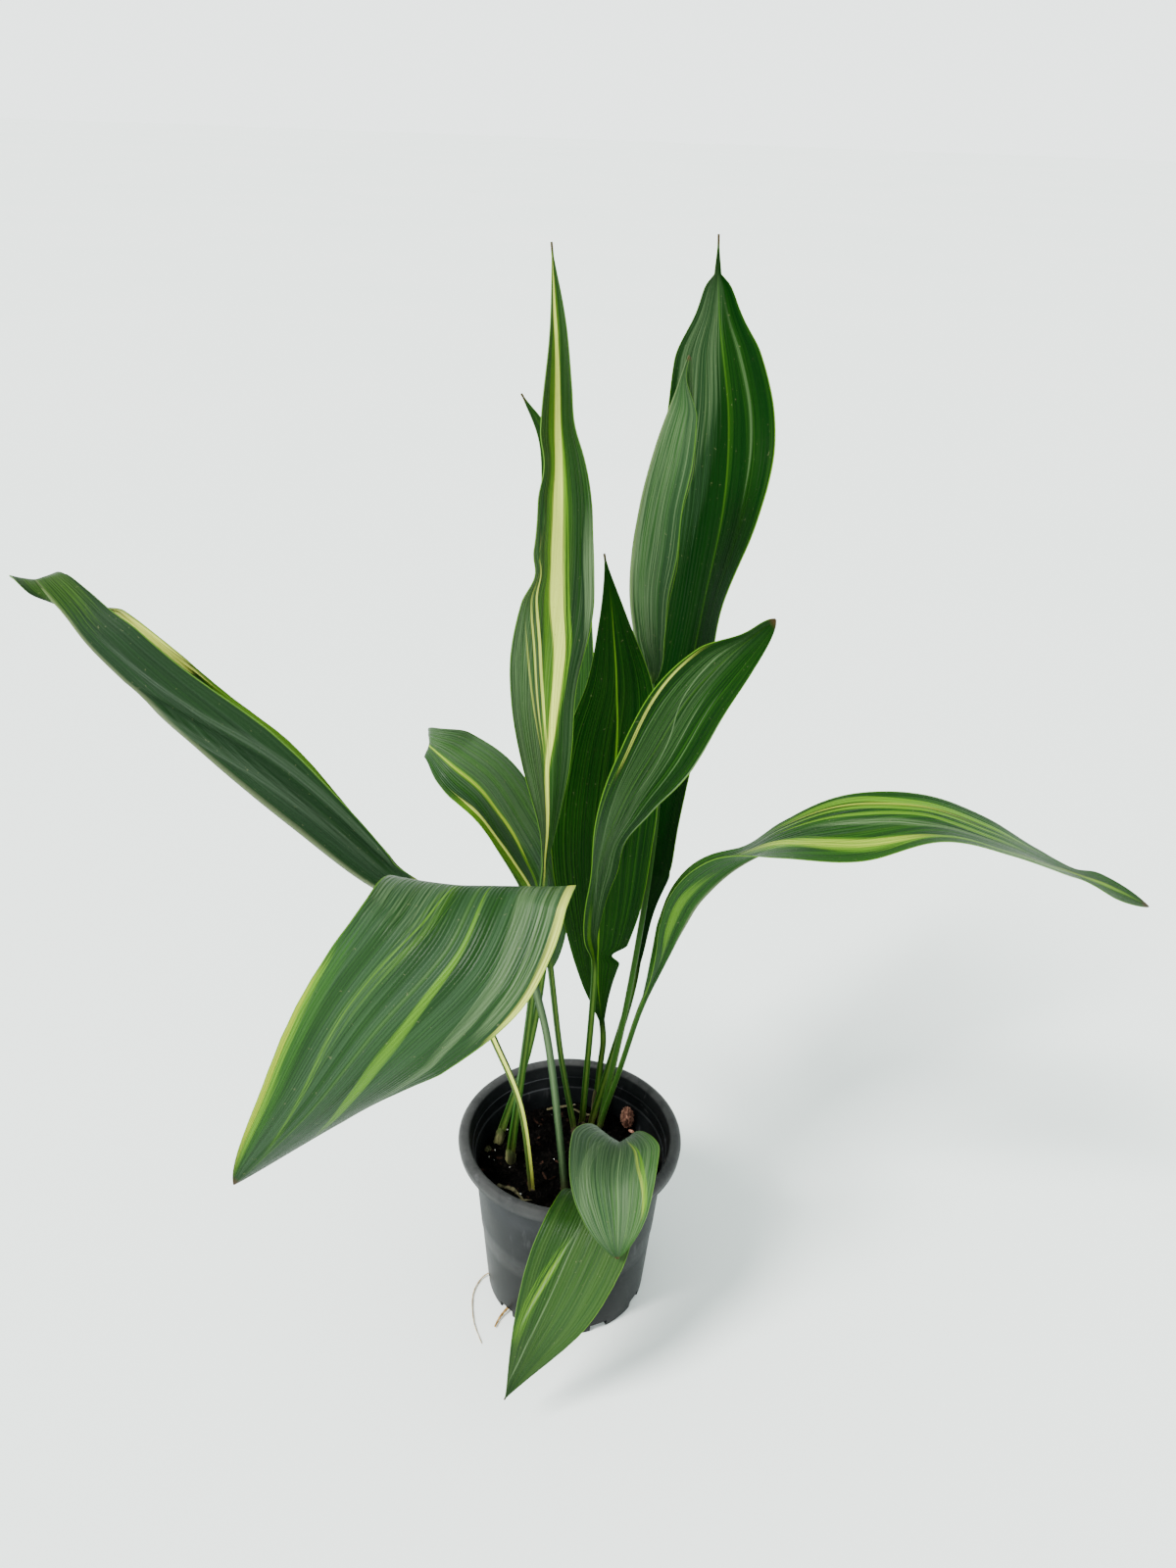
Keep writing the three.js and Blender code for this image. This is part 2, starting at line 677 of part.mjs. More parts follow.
function skinRings(rings, startPoint, endPoint) {
  const sides = rings[0].length;
  const points = [...rings.flat(), startPoint, endPoint];
  const startIndex = points.length - 2;
  const endIndex = points.length - 1;
  const corners = [];
  rings.forEach((ring, i) => {
    for (let k = 0; k < sides; k += 1) {
      const next = (k + 1) % sides;
      if (i === 0) corners.push(startIndex, next, k);
      if (i === rings.length - 1) {
        corners.push(endIndex, i * sides + k, i * sides + next);
      } else {
        corners.push(i * sides + k, i * sides + next, (i + 1) * sides + next);
        corners.push(i * sides + k, (i + 1) * sides + next, (i + 1) * sides + k);
      }
    }
  });
  const geometry = new THREE.BufferGeometry();
  geometry.setAttribute('position',
    new THREE.Float32BufferAttribute(points.flatMap((point) => point.toArray()), 3));
  geometry.setIndex(corners);
  return closedSolid(geometry);
}

function soilHeight(x, y) {
  const broadWaves = Math.sin(x * 0.11 + 1.3) * Math.cos(y * 0.09 - 0.4);
  const smallWaves = 0.5 * Math.sin(x * 0.23 - y * 0.19);
  return soil.level + soil.bumps * (broadWaves + smallWaves);
}

function makeSoilBody() {
  const bottom = pot.floor + seatGap;
  const cornerTop = pot.floor + pot.innerCorner;
  const edgeRadius = (z) => wallRadius(z) - pot.wall - seatGap - soil.facetRoom;
  const ringAt = (radius, heightOf) => {
    const ring = [];
    for (let k = 0; k < soil.segments; k += 1) {
      const angle = (2 * Math.PI * k) / soil.segments;
      const [x, y] = [radius * Math.cos(angle), radius * Math.sin(angle)];
      ring.push(new THREE.Vector3(x, y, heightOf(x, y)));
    }
    return ring;
  };
  const rings = [
    ringAt(edgeRadius(pot.floor) - pot.innerCorner, () => bottom),
    ringAt(edgeRadius(cornerTop), () => cornerTop),
    ringAt(edgeRadius(pot.bandHeight), () => pot.bandHeight),
  ];
  for (let i = 0; i < soil.rings; i += 1) {
    const share = 1 - i / soil.rings;
    rings.push(ringAt(edgeRadius(soil.level - soil.edgeDrop) * share, soilHeight));
  }
  return skinRings(rings, new THREE.Vector3(0, 0, bottom), new THREE.Vector3(0, 0, soilHeight(0, 0)));
}

function makeSoil() {
  const holes = Object.values(leafPlans).map((plan) => stemHole(plan));
  const rootHoles = Object.values(roots).map((plan) => makeRoot(plan, seatGap));
  return makeSoilBody().subtract(wasm.Manifold.union([...holes, ...rootHoles, makeBark(seatGap)]));
}

// ---- the whole plant ----

const group = new THREE.Group();
group.name = 'potted_cast_iron_plant';
group.add(makeNode('pot', makePot(), colours.pot, 0.55));
group.add(makeNode('soil', makeSoil(), colours.soil, 0.95));
group.add(makeNode('bark_chunk', makeBark(0), colours.bark, 0.9));
Object.entries(roots).forEach(([name, plan]) => {
  group.add(makeNode(name, makeRoot(plan, 0), colours.root, 0.8));
});
Object.entries(leafPlans).forEach(([name, plan]) => {
  group.add(makeNode(name, makeLeaf(plan), colours.leaf, 0.45));
});

export default group;
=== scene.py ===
# A variegated cast iron plant in a nursery pot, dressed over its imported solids.
# Plans and sizes are in millimetres, and mm turns them into Blender's metres; lights, the camera
# and everything inside a material are in metres.
import math
import bpy
import bmesh
import numpy as np
from mathutils import Euler, Matrix, Vector, noise


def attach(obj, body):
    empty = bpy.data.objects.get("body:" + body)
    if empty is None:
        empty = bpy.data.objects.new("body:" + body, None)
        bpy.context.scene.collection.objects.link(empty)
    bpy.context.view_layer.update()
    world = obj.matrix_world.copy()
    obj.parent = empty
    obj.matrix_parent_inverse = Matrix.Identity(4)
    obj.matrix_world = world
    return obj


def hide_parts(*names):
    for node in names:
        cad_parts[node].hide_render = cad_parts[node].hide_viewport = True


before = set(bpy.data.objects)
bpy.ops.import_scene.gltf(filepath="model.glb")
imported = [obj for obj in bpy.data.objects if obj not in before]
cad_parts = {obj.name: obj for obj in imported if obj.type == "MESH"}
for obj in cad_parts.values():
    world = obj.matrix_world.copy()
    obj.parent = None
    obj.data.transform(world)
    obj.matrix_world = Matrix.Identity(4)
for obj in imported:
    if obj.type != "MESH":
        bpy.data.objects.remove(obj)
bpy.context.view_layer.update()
mm = 0.001
print("solids loaded:", len(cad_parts))

# where the camera stands, how far it looks down and how it is rolled, in degrees
cameraPlan = {
    "place": (0.004, -0.730, 0.848), "downward": 28.4, "roll": 2.1, "lens": 29.25, "sensor": 36,
    "farthest": 200,
}


def newObject(name, data):
    made = bpy.data.objects.new(name, data)
    bpy.context.collection.objects.link(made)
    return made


def makeCamera(plan):
    down, roll = math.radians(plan["downward"]), math.radians(plan["roll"])
    forward = Vector((0, math.cos(down), -math.sin(down)))
    levelUp = Vector((0, math.sin(down), math.cos(down)))
    levelRight = Vector((1, 0, 0))
    right = levelRight * math.cos(roll) + levelUp * math.sin(roll)
    up = levelUp * math.cos(roll) - levelRight * math.sin(roll)
    data = bpy.data.cameras.new("plantCamera")
    data.lens, data.sensor_width, data.clip_end = plan["lens"], plan["sensor"], plan["farthest"]
    camera = newObject("plantCamera", data)
    turned = Matrix((right, up, -forward)).transposed().to_4x4()
    camera.matrix_world = Matrix.Translation(plan["place"]) @ turned
    bpy.context.scene.camera = camera


makeCamera(cameraPlan)


def addNode(tree, kind, sockets=None, **settings):
    made = tree.nodes.new(kind)
    for key, value in settings.items():
        setattr(made, key, value)
    for key, value in (sockets or {}).items():
        if isinstance(value, bpy.types.NodeSocket):
            tree.links.new(value, made.inputs[key])
        else:
            made.inputs[key].default_value = value
    return made


def calc(tree, operation, *values, clamp=False):
    sockets = dict(enumerate(values))
    return addNode(tree, "ShaderNodeMath", sockets, operation=operation, use_clamp=clamp).outputs[0]


def times(tree, product, *others):
    for other in others:
        product = calc(tree, "MULTIPLY", product, other)
    return product


def timesPlus(tree, first, second, added):
    return calc(tree, "MULTIPLY_ADD", first, second, added)


def plus(tree, first, second, clamp=False):
    return calc(tree, "ADD", first, second, clamp=clamp)


def minus(tree, first, second):
    return calc(tree, "SUBTRACT", first, second)


def blendColour(tree, share, first, second):
    sockets = {0: share, 6: first, 7: second}
    return addNode(tree, "ShaderNodeMix", sockets, data_type="RGBA").outputs[2]


# lays tones over a colour one by one, each by its share
def layered(tree, palette, colour, *layers):
    for share, tone in layers:
        colour = blendColour(tree, share, colour, palette[tone])
    return colour


def ease(tree, value, low, high, lowResult=0.0, highResult=1.0):
    sockets = {0: value, 1: low, 2: high, 3: lowResult, 4: highResult}
    return addNode(tree, "ShaderNodeMapRange", sockets, interpolation_type="SMOOTHSTEP").outputs[0]


def grain(tree, vector, scale, detail=3.0, rough=0.55):
    sockets = {"Vector": vector, "Scale": scale, "Detail": detail, "Roughness": rough}
    return addNode(tree, "ShaderNodeTexNoise", sockets).outputs[0]


def asVector(tree, x, y, z):
    return addNode(tree, "ShaderNodeCombineXYZ", {0: x, 1: y, 2: z}).outputs[0]


def partsOf(tree, vector):
    return addNode(tree, "ShaderNodeSeparateXYZ", {0: vector}).outputs


def stretch(tree, vector, scale):
    return addNode(tree, "ShaderNodeMapping", {"Vector": vector, "Scale": scale}).outputs[0]


def rgb(red, green, blue):
    return (red, green, blue, 1.0)


# an empty material, its tree and the place on the piece that its patterns hang on
def newMaterial(name):
    material = bpy.data.materials.new(name)
    material.use_nodes = True
    tree = material.node_tree
    tree.nodes.clear()
    return material, tree, addNode(tree, "ShaderNodeTexCoord").outputs["Object"]


# relief is a height with the bump's strength and its distance in metres
def finishMaterial(tree, colour, rough, gloss, relief=None):
    sockets = {"Base Color": colour, "Roughness": rough, "Specular IOR Level": gloss}
    if relief:
        height, strength, distance = relief
        bump = {"Strength": strength, "Distance": distance, "Height": height}
        sockets["Normal"] = addNode(tree, "ShaderNodeBump", bump).outputs[0]
    shader = addNode(tree, "ShaderNodeBsdfPrincipled", sockets)
    addNode(tree, "ShaderNodeOutputMaterial", {"Surface": shader.outputs[0]})


# a node group with its inputs and its output node; sockets are given as name: kind
def newGroup(name, inputs, outputs, treeKind="ShaderNodeTree"):
    group = bpy.data.node_groups.new(name, treeKind)
    for way, kinds in (("INPUT", inputs), ("OUTPUT", outputs)):
        for socketName, kind in kinds.items():
            group.interface.new_socket(socketName, in_out=way, socket_type="NodeSocket" + kind)
    return group, addNode(group, "NodeGroupInput").outputs, addNode(group, "NodeGroupOutput")


def floats(*names):
    return dict.fromkeys(names, "Float")


def giveOut(tree, result, values):
    for key, value in values.items():
        tree.links.new(value, result.inputs[key])


def useGroup(tree, group, sockets):
    return addNode(tree, "ShaderNodeGroup", sockets, node_tree=group).outputs


def placeMesh(name, mesh, material=None, smooth=True):
    mesh.polygons.foreach_set("use_smooth", [smooth] * len(mesh.polygons))
    if material:
        mesh.materials.append(material)
    return newObject(name, mesh)


def meshObject(name, points, faces, material=None, smooth=True):
    mesh = bpy.data.meshes.new(name)
    mesh.from_pydata((np.array(points, float) * mm).tolist(), [], faces)
    mesh.update()
    return placeMesh(name, mesh, material, smooth)


def bmeshObject(name, built, material=None, smooth=True):
    mesh = bpy.data.meshes.new(name)
    built.to_mesh(mesh)
    built.free()
    return placeMesh(name, mesh, material, smooth)


# puts a piece's modifiers into its mesh
def settle(piece):
    bpy.context.view_layer.update()
    evaluated = piece.evaluated_get(bpy.context.evaluated_depsgraph_get())
    mesh = bpy.data.meshes.new_from_object(evaluated)
    piece.modifiers.clear()
    piece.data = mesh
    return mesh


# turns a closed mesh's faces outward
def turnOutward(mesh):
    closed = bmesh.new()
    closed.from_mesh(mesh)
    if closed.calc_volume(signed=True) < 0:
        bmesh.ops.reverse_faces(closed, faces=closed.faces)
        closed.to_mesh(mesh)
    closed.free()


# the point numbers of four matching grids, joined into faces
def quads(*corners):
    return np.stack(corners, -1).reshape(-1, 4).tolist()


# faces round a pile of rings
def ringFaces(rings, sides):
    here = np.arange(rings * sides).reshape(rings, sides)
    onward = np.roll(here, -1, axis=1)
    return quads(here[:-1], onward[:-1], onward[1:], here[1:])


# a body from a grid of rings, closed at both ends
def makeRings(name, rings, material):
    count, sides = len(rings), len(rings[0])
    faces = ringFaces(count, sides)
    faces.append(list(reversed(range(sides))))
    faces.append([(count - 1) * sides + k for k in range(sides)])
    body = meshObject(name, np.reshape(rings, (-1, 3)), faces, material)
    turnOutward(body.data)
    return body


# a closed thin shell between two matching grids of points
def makeShell(name, upper, lower, material):
    rows, columns = upper.shape[:2]
    top, low = np.arange(rows * 2 * columns).reshape(rows, 2, columns).transpose(1, 0, 2)
    faces = quads(top[:-1, :-1], top[:-1, 1:], top[1:, 1:], top[1:, :-1])
    faces += quads(low[:-1, :-1], low[1:, :-1], low[1:, 1:], low[:-1, 1:])
    faces += quads(top[:-1, 0], top[1:, 0], low[1:, 0], low[:-1, 0])
    faces += quads(top[:-1, -1], low[:-1, -1], low[1:, -1], top[1:, -1])
    faces += quads(top[0, :-1], low[0, :-1], low[0, 1:], top[0, 1:])
    faces += quads(top[-1, :-1], top[-1, 1:], low[-1, 1:], low[-1, :-1])
    shell = meshObject(name, np.stack([upper, lower], 1).reshape(-1, 3), faces, material)
    turnOutward(shell.data)
    return shell


def dress(piece, slotName, *nodes):
    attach(piece, "root")
    if nodes:
        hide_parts(*nodes)


# the bare floor, the pale room round it and its light
stagePlan = {
    "floorSize": 60000,
    "floorColours": (rgb(0.87, 0.950, 0.925), rgb(0.96, 0.985, 0.975)),
    "floorPatches": 0.8,
    "floorRough": 0.9,
    "floorGloss": 0.2,
    "skyColours": (rgb(0.93, 1.0, 0.975), rgb(0.80, 0.88, 0.86)),
    "skyStrengths": (3.0, 1.6),
    "skyBand": (0.02, 0.5),
    "keyFrom": (-0.62, -0.50, 1.0),
    "keyStrength": 6.2,
    "keyColour": (1, 0.985, 0.95),
    "keyAngle": 16,
    "fillPlace": (-1.1, -1.9, 0.9),
    "fillAim": (0.0, 0.0, 0.35),
    "fillSize": 1.6,
    "fillPower": 12,
    "fillColour": (0.97, 1, 0.98),
}


def makeLight(name, kind, place, aim, strength, colour):
    data = bpy.data.lights.new(name, kind)
    data.energy, data.color = strength, colour
    light = newObject(name, data)
    light.location = place
    light.rotation_euler = (Vector(aim) - Vector(place)).to_track_quat("-Z", "Y").to_euler()
    return data


def makeWorld(plan):
    world = bpy.data.worlds.new("paleRoom")
    bpy.context.scene.world = world
    world.use_nodes = True
    tree = world.node_tree
    tree.nodes.clear()
    rise = partsOf(tree, addNode(tree, "ShaderNodeTexCoord").outputs["Generated"])[2]
    colour = blendColour(tree, ease(tree, rise, *plan["skyBand"]), *plan["skyColours"])
    strength = ease(tree, rise, *plan["skyBand"], *plan["skyStrengths"])
    background = addNode(tree, "ShaderNodeBackground", {0: colour, 1: strength})
    addNode(tree, "ShaderNodeOutputWorld", {"Surface": background.outputs[0]})


def makeStage(plan):
    material, tree, spot = newMaterial("paleFloor")
    patches = grain(tree, spot, plan["floorPatches"], 2.0)
    colour = blendColour(tree, patches, *plan["floorColours"])
    finishMaterial(tree, colour, plan["floorRough"], plan["floorGloss"])
    half = plan["floorSize"] / 2
    corners = [(-half, -half, 0), (half, -half, 0), (half, half, 0), (-half, half, 0)]
    meshObject("paleFloor", corners, [(0, 1, 2, 3)], material, smooth=False)
    key = makeLight("keyLight", "SUN", plan["keyFrom"], (0, 0, 0), plan["keyStrength"],
                    plan["keyColour"])
    key.angle = math.radians(plan["keyAngle"])
    fill = makeLight("fillLight", "AREA", plan["fillPlace"], plan["fillAim"], plan["fillPower"],
                     plan["fillColour"])
    fill.size = plan["fillSize"]
    makeWorld(plan)


makeStage(stagePlan)
print("floor and light ready")

# A station is (x, y, z, turn, left, right): turn rolls the blade about its spine, and left and
# right are how far each half folds up by its edge, in degrees. A ruffle, left and right, is
# (height, waves, phase), a bite (half, v, reach, depth) and a crease (depth, half width,
# (v, u), ...), with v from base to tip and u from the left edge, -1, to the right edge, 1.
leafPlans = {}
leafPlans["leaf_far_left"] = dict(
    side=(-0.6, -0.5, -0.6), bladeFrom=4, width=81, widest=0.44, taper=1.6, crease=0.85, stem=5.4,
    foot=6,
    ruffle=[(1.5, 3, 0), (2, 3, 1)],
    bites=[(-1, 0.79, 0.1, 0.2), (1, 0.82, 0.08, 0.8), (1, 0.92, 0.07, 0.08)],
    creases=[(3.4, 0.09, (0.05, -0.75), (0.25, -0.62), (0.4, -0.5), (0.5, -0.32), (0.65, 0.0)),
             (-2.2, 0.09, (0.05, -0.95), (0.25, -0.85), (0.4, -0.74), (0.55, -0.55), (0.75, -0.4)),
             (-2.0, 0.07, (0.05, -0.5), (0.25, -0.4), (0.4, -0.28), (0.5, -0.12), (0.6, 0.0))],
    stations=[(-26, -25, 114, 120), (-35, -27, 199, 120), (-55, -25, 260, 120),
        (-87, -15, 331, 120, 40, 40), (-97, -10, 365, 105, 70, 45), (-137, -6, 373, 110, 90, 55),
        (-191, -2, 416, 110, 95, 60), (-244, 2, 464, 115, 95, 70), (-303, 6, 526, 115, 90, 85),
        (-325, 12, 553, 60, 60, 90), (-342, 18, 571, 0, 35, -45), (-353, 44, 561, 0, 20, -45),
        (-354, 64, 547, 0, 20, -45)])
leafPlans["leaf_front_left"] = dict(
    side=(-1, 0, 0), bladeFrom=3, width=110, widest=0.38, taper=1.2, crease=0.4, stem=5.4, foot=6,
    ruffle=[(1, 2, 0), (1, 2, 2)],
    stations=[(-2, -26, 114), (-15, -32, 248), (-25, -36, 308), (-37, -44, 358),
        (-47, -62, 402, 0, 10, 10), (-57, -100, 435, 0, -5, -5), (-74, -138, 415, 5, -5, 10),
        (-112, -160, 374, -5, -30, 0), (-151, -176, 324, 10, -50, -5),
        (-195, -188, 279, 20, -50, -15)])
leafPlans["leaf_tall_left"] = dict(
    width=53, widest=0.5, taper=3.1, stem=5.6, foot=8,
    ruffle=[(3, 4, 0), (4, 4, 2)],
    bites=[(-1, 0.545, 0.04, 0.25), (-1, 0.7, 0.05, 0.3), (1, 0.76, 0.05, 0.1)],
    creases=[(2.2, 0.07, (0.36, 0.9), (0.5, 0.76), (0.58, 0.7), (0.68, 0.88)),
             (1.2, 0.07, (0.5, -0.95), (0.56, -0.8), (0.62, -0.6), (0.72, -0.75))],
    stations=[(-46, 3, 114, -20), (-32, 0, 258, -20), (-24, -2, 370, -20),
        (-23, -2, 396, -25, 30, 25), (-22, 0, 430, -25, 25, 25), (-27, 4, 505, -25, 10, 25),
        (-24, 10, 567, -30, 25, 20), (-21, 18, 626, -20, 60, 45), (-22, 28, 682, -5, 70, 70),
        (-23, 40, 731, -5, 60, 60), (-28, 52, 774)])
leafPlans["leaf_behind_left"] = dict(
    width=48, widest=0.45, taper=2, stem=5.2, foot=7.5,
    ruffle=[(1.5, 3, 0), (1.5, 3, 2)],
    stations=[(-57, 23, 114), (-34, 30, 203), (-24, 40, 277), (-22, 54, 333), (-21, 64, 369, 10),
        (-16, 82, 440, 20), (-14, 94, 511, 20), (-19, 100, 580, 10), (-29, 104, 644, 0, 30, 30),
        (-48, 108, 678, 0, 30, 30)])
leafPlans["leaf_dark_middle"] = dict(
    width=74, widest=0.52, taper=3, stem=5.2, foot=5.6,
    ruffle=[(1.5, 3, 1), (2, 3, 2)],
    bites=[(1, 0.215, 0.025, 0.45)],
    stations=[(19, 55, 114, 0, 10, 10), (22, 55, 170, 0, 10, 10), (23, 50, 204, -5, 10, 10),
        (17, 42, 261, -10, 15, 5), (16, 38, 324, -10, 20, 10), (15, 38, 387, -5, 15, 15),
        (19, 42, 454, 5, 15, 20), (23, 47, 502, 5, 20, 25), (17, 52, 548, 5, 30, 35),
        (9, 58, 590, 0, 30, 30)])
leafPlans["leaf_narrow_folded"] = dict(
    bladeFrom=5, width=62, widest=0.5, taper=1.2, crease=0.85, stem=5.2, foot=5.4,
    ruffle=[(1, 3, 0), (1.5, 3, 1)],
    bites=[(-1, 0.97, 0.12, 0.8), (1, 0.95, 0.15, 0.35)],
    stations=[(24, 43, 114, -30), (32, 38, 179, -60), (42, 42, 253, -70), (52, 49, 356, -85),
        (54, 59, 424, -85, 30, 30), (45, 74, 493, -85, 60, 60), (34, 80, 527, -85, 70, 75),
        (29, 86, 565, -85, 70, 75), (32, 90, 610, -90, 65, 80), (40, 92, 651, -90, 65, 80),
        (51, 94, 687, -90, 60, 75), (57, 92, 708, -90, 50, 50)])
leafPlans["leaf_tall_right"] = dict(
    width=87, widest=0.67, taper=1.9, stem=5.6, foot=5.6, drip=(26, 6),
    ruffle=[(2, 3, 0), (2, 3, 2)],
    bites=[(-1, 0.92, 0.06, 0.3), (1, 0.92, 0.06, 0.2), (-1, 0.12, 0.115, 0.75),
        (1, 0.1, 0.095, 0.4)],
    stations=[(16, 44, 114), (28, 47, 172), (44, 55, 248), (54, 74, 330), (55, 80, 342, 5, 30, 35),
        (58, 94, 381, 20, 30, 40), (69, 116, 461, 35, 25, 40), (79, 132, 531, 45, 15, 40),
        (87, 144, 598, 30, 15, 30), (86, 154, 655, 10, 10, 20), (79, 162, 710, 5, 20, 25),
        (76, 172, 771, 0, 30, 30)])
leafPlans["leaf_small_left"] = dict(
    side=(0.75, 0.3, 0.4), width=57, widest=0.55, taper=1.3, stem=4.6, foot=5,
    ruffle=[(1, 2, 0), (1, 2, 2)],
    bites=[(-1, 0.84, 0.13, 0.55), (1, 0.91, 0.13, 0.6)],
    stations=[(4, 35, 114), (-9, 30, 200), (-18, 26, 284, -5, 25, 20), (-24, 26, 332, -15, 30, 20),
        (-30, 27, 364, -25, 40, 20), (-51, 30, 402, -15, 60, 10), (-68, 34, 428, -10, 55, 15),
        (-89, 38, 445, 0, 45, 10), (-106, 50, 453, 50, 20, 15), (-98, 74, 433, 50)])
leafPlans["leaf_arching_right"] = dict(
    side=(0, -1, 0), width=64, widest=0.55, taper=1.7, crease=0.7, stem=4.8, foot=5.4,
    ruffle=[(1, 3, 0), (1, 3, 2)],
    bites=[(-1, 0.865, 0.055, 0.5), (1, 0.865, 0.055, 0.5)],
    stations=[(20, 36, 114), (36, 30, 191), (49, 25, 255, -5), (66, 20, 308, -5, 60, 65),
        (74, 18, 331, 0, 90, 90), (85, 16, 357, 10, 80, 80), (107, 12, 387, 20, 15, 40),
        (138, 8, 408, 5, 5, 15), (183, 4, 421, -10, 20, 10), (231, 2, 431, 0, 15, 10),
        (276, 2, 420, 5, 10, 10), (316, 4, 403, 10, 5, 10), (340, 6, 393, 5, 5, 10),
        (369, 8, 380, -5, 10, 5), (394, 10, 368, -10, 15, 5)])
leafPlans["leaf_middle_right"] = dict(
    width=54, widest=0.64, taper=1.9, stem=5, foot=5.4,
    ruffle=[(1, 3, 0), (1, 3, 2)],
    bites=[(-1, 0.95, 0.08, 0.55), (1, 0.38, 0.1, 0.25)],
    stations=[(9, 43, 114), (11, 38, 173), (14, 26, 282, -10, 25, 15), (9, 18, 324, -30, 40, 20),
        (11, 8, 376, -40, 50, 20), (24, -6, 435, -25, 35, 10), (45, -16, 487, -10, 25, 20),
        (64, -22, 528), (86, -24, 557, 5, 30, 20), (111, -22, 580, 0, 30, 20)])
leafPlans["leaf_front_small"] = dict(
    side=(-1, 0, 0), bladeFrom=1, width=70, widest=0.47, taper=1.5, crease=0.7, stem=4.4, foot=4.8,
    ruffle=[(0.5, 2, 0), (0.5, 2, 2)],
    bites=[(-1, 0.33, 0.2, 0.75), (1, 0.34, 0.18, 0.5)],
    stations=[(30, 4, 114), (38, -14, 138, 0, 30, 30), (39, -34, 169, 0, 40, 40),
        (35, -50, 189, 0, 40, 35), (31, -80, 187, -5, 20, 30), (33, -102, 173, -5, 10, 20),
        (36, -118, 149, -5, 10, 15)])
leafPlans["leaf_front_hanging"] = dict(
    side=(-1, 0, 0), bladeFrom=1, width=64, widest=0.37, taper=1.9, stem=4.8, foot=5.2,
    ruffle=[(1, 2, 0), (1, 2, 2)],
    stations=[(20, -34, 114, -5, 20, 15), (23, -52, 138, -5, 20, 15), (23, -72, 161, -5, 20, 15),
        (17, -95, 155, 0, 15, 15), (6, -112, 136, 0, 15, 15), (-6, -126, 111, 0, 15, 15),
        (-20, -137, 81, 5, 15, 15), (-39, -148, 38, 5, 15, 15)])

# what a leaf's plan holds unless it says otherwise; side is the blade's right before any turn
plainPlan = {
    "side": (1, 0, 0), "bladeFrom": 2, "crease": 0.5, "drip": (0, 0), "bites": [], "creases": [],
}
# how finely every leaf is made, and the sizes and rates that all of them share
leafMake = {
    "spanSteps": 40, "bladeSteps": 200, "stemSteps": 46, "halfSteps": 20, "bunching": 1.3,
    "buried": 85, "evenAngles": (0, 20, 20), "tangentReach": 2,
    "thickness": 0.55, "solidThickness": 0.8, "tipWidth": 1.0, "ribFading": 1.3,
    "stemShare": 0.86, "stemDepth": 0.85, "footReach": 90, "dripPower": 1.5,
    "quilting": 0.35, "quiltRates": (2.5, 9), "edgeWaver": 0.012, "waverRates": (3, 14),
    "detailFrom": 12, "creaseEnds": (0.06, 0.08),
}


def curveThrough(points, steps):
    points = np.array(points, float)
    ends = np.vstack([2 * points[0] - points[1], points, 2 * points[-1] - points[-2]])
    share = np.linspace(0, 1, steps, endpoint=False)[:, None]
    spans = []
    for i in range(len(points) - 1):
        a, b, c, d = ends[i:i + 4]
        cubic = (-a + 3 * b - 3 * c + d) * share ** 3
        square = (2 * a - 5 * b + 4 * c - d) * share ** 2
        spans.append(0.5 * (2 * b + (c - a) * share + square + cubic))
    return np.vstack([*spans, points[-1][None]])


# the curve of a leaf's stations, each with all its angles, and one more of them inside the soil
def leafCurve(plan):
    rows = [[*row, *leafMake["evenAngles"][len(row) - 3:]] for row in plan["stations"]]
    x, y, _, *angles = rows[0]
    return curveThrough([[x, y, leafMake["buried"], *angles], *rows], leafMake["spanSteps"])


def along(lengths, curveLengths, values):
    return np.concatenate([np.interp(lengths, curveLengths, column) for column in values.T], -1)


def unit(vectors):
    return vectors / np.linalg.norm(vectors, axis=-1, keepdims=True)


# the blade's outline: 0 at its base and tip, 1 at its widest
def bladeOutline(v, widest, taper):
    v = np.clip(v, 0, 1)
    return ((v / widest) ** widest * ((1 - v) / (1 - widest)) ** (1 - widest)) ** taper


# how much of its width a half keeps where bites draw its margin in
def halfShare(bites, sign, v):
    share = np.ones_like(v)
    for half, where, reach, depth in bites:
        if half == sign:
            away = np.clip(np.abs(v - where) / reach, 0, 1)
            share = share * (1 - depth * np.cos(away * np.pi / 2) ** 2)
    return share


# long folds pressed into a half; one with a depth below 0 is a ridge
def creaseDepth(creases, u, v):
    depth = np.zeros_like(v)
    first, last = leafMake["creaseEnds"]
    for deep, reach, *path in creases:
        middle = np.interp(v, [spot[0] for spot in path], [spot[1] for spot in path])
        ends = np.clip((v - path[0][0]) / first, 0, 1) * np.clip((path[-1][0] - v) / last, 0, 1)
        depth = depth + deep * ends * np.exp(-((u - middle) / reach) ** 2)
    return depth


# smooth noise at a seed, at one place across and at every place along
def noiseAlong(seed, across, lengthwise):
    return np.array([[noise.noise(Vector((seed, across, place)))] for place in lengthwise[:, 0]])


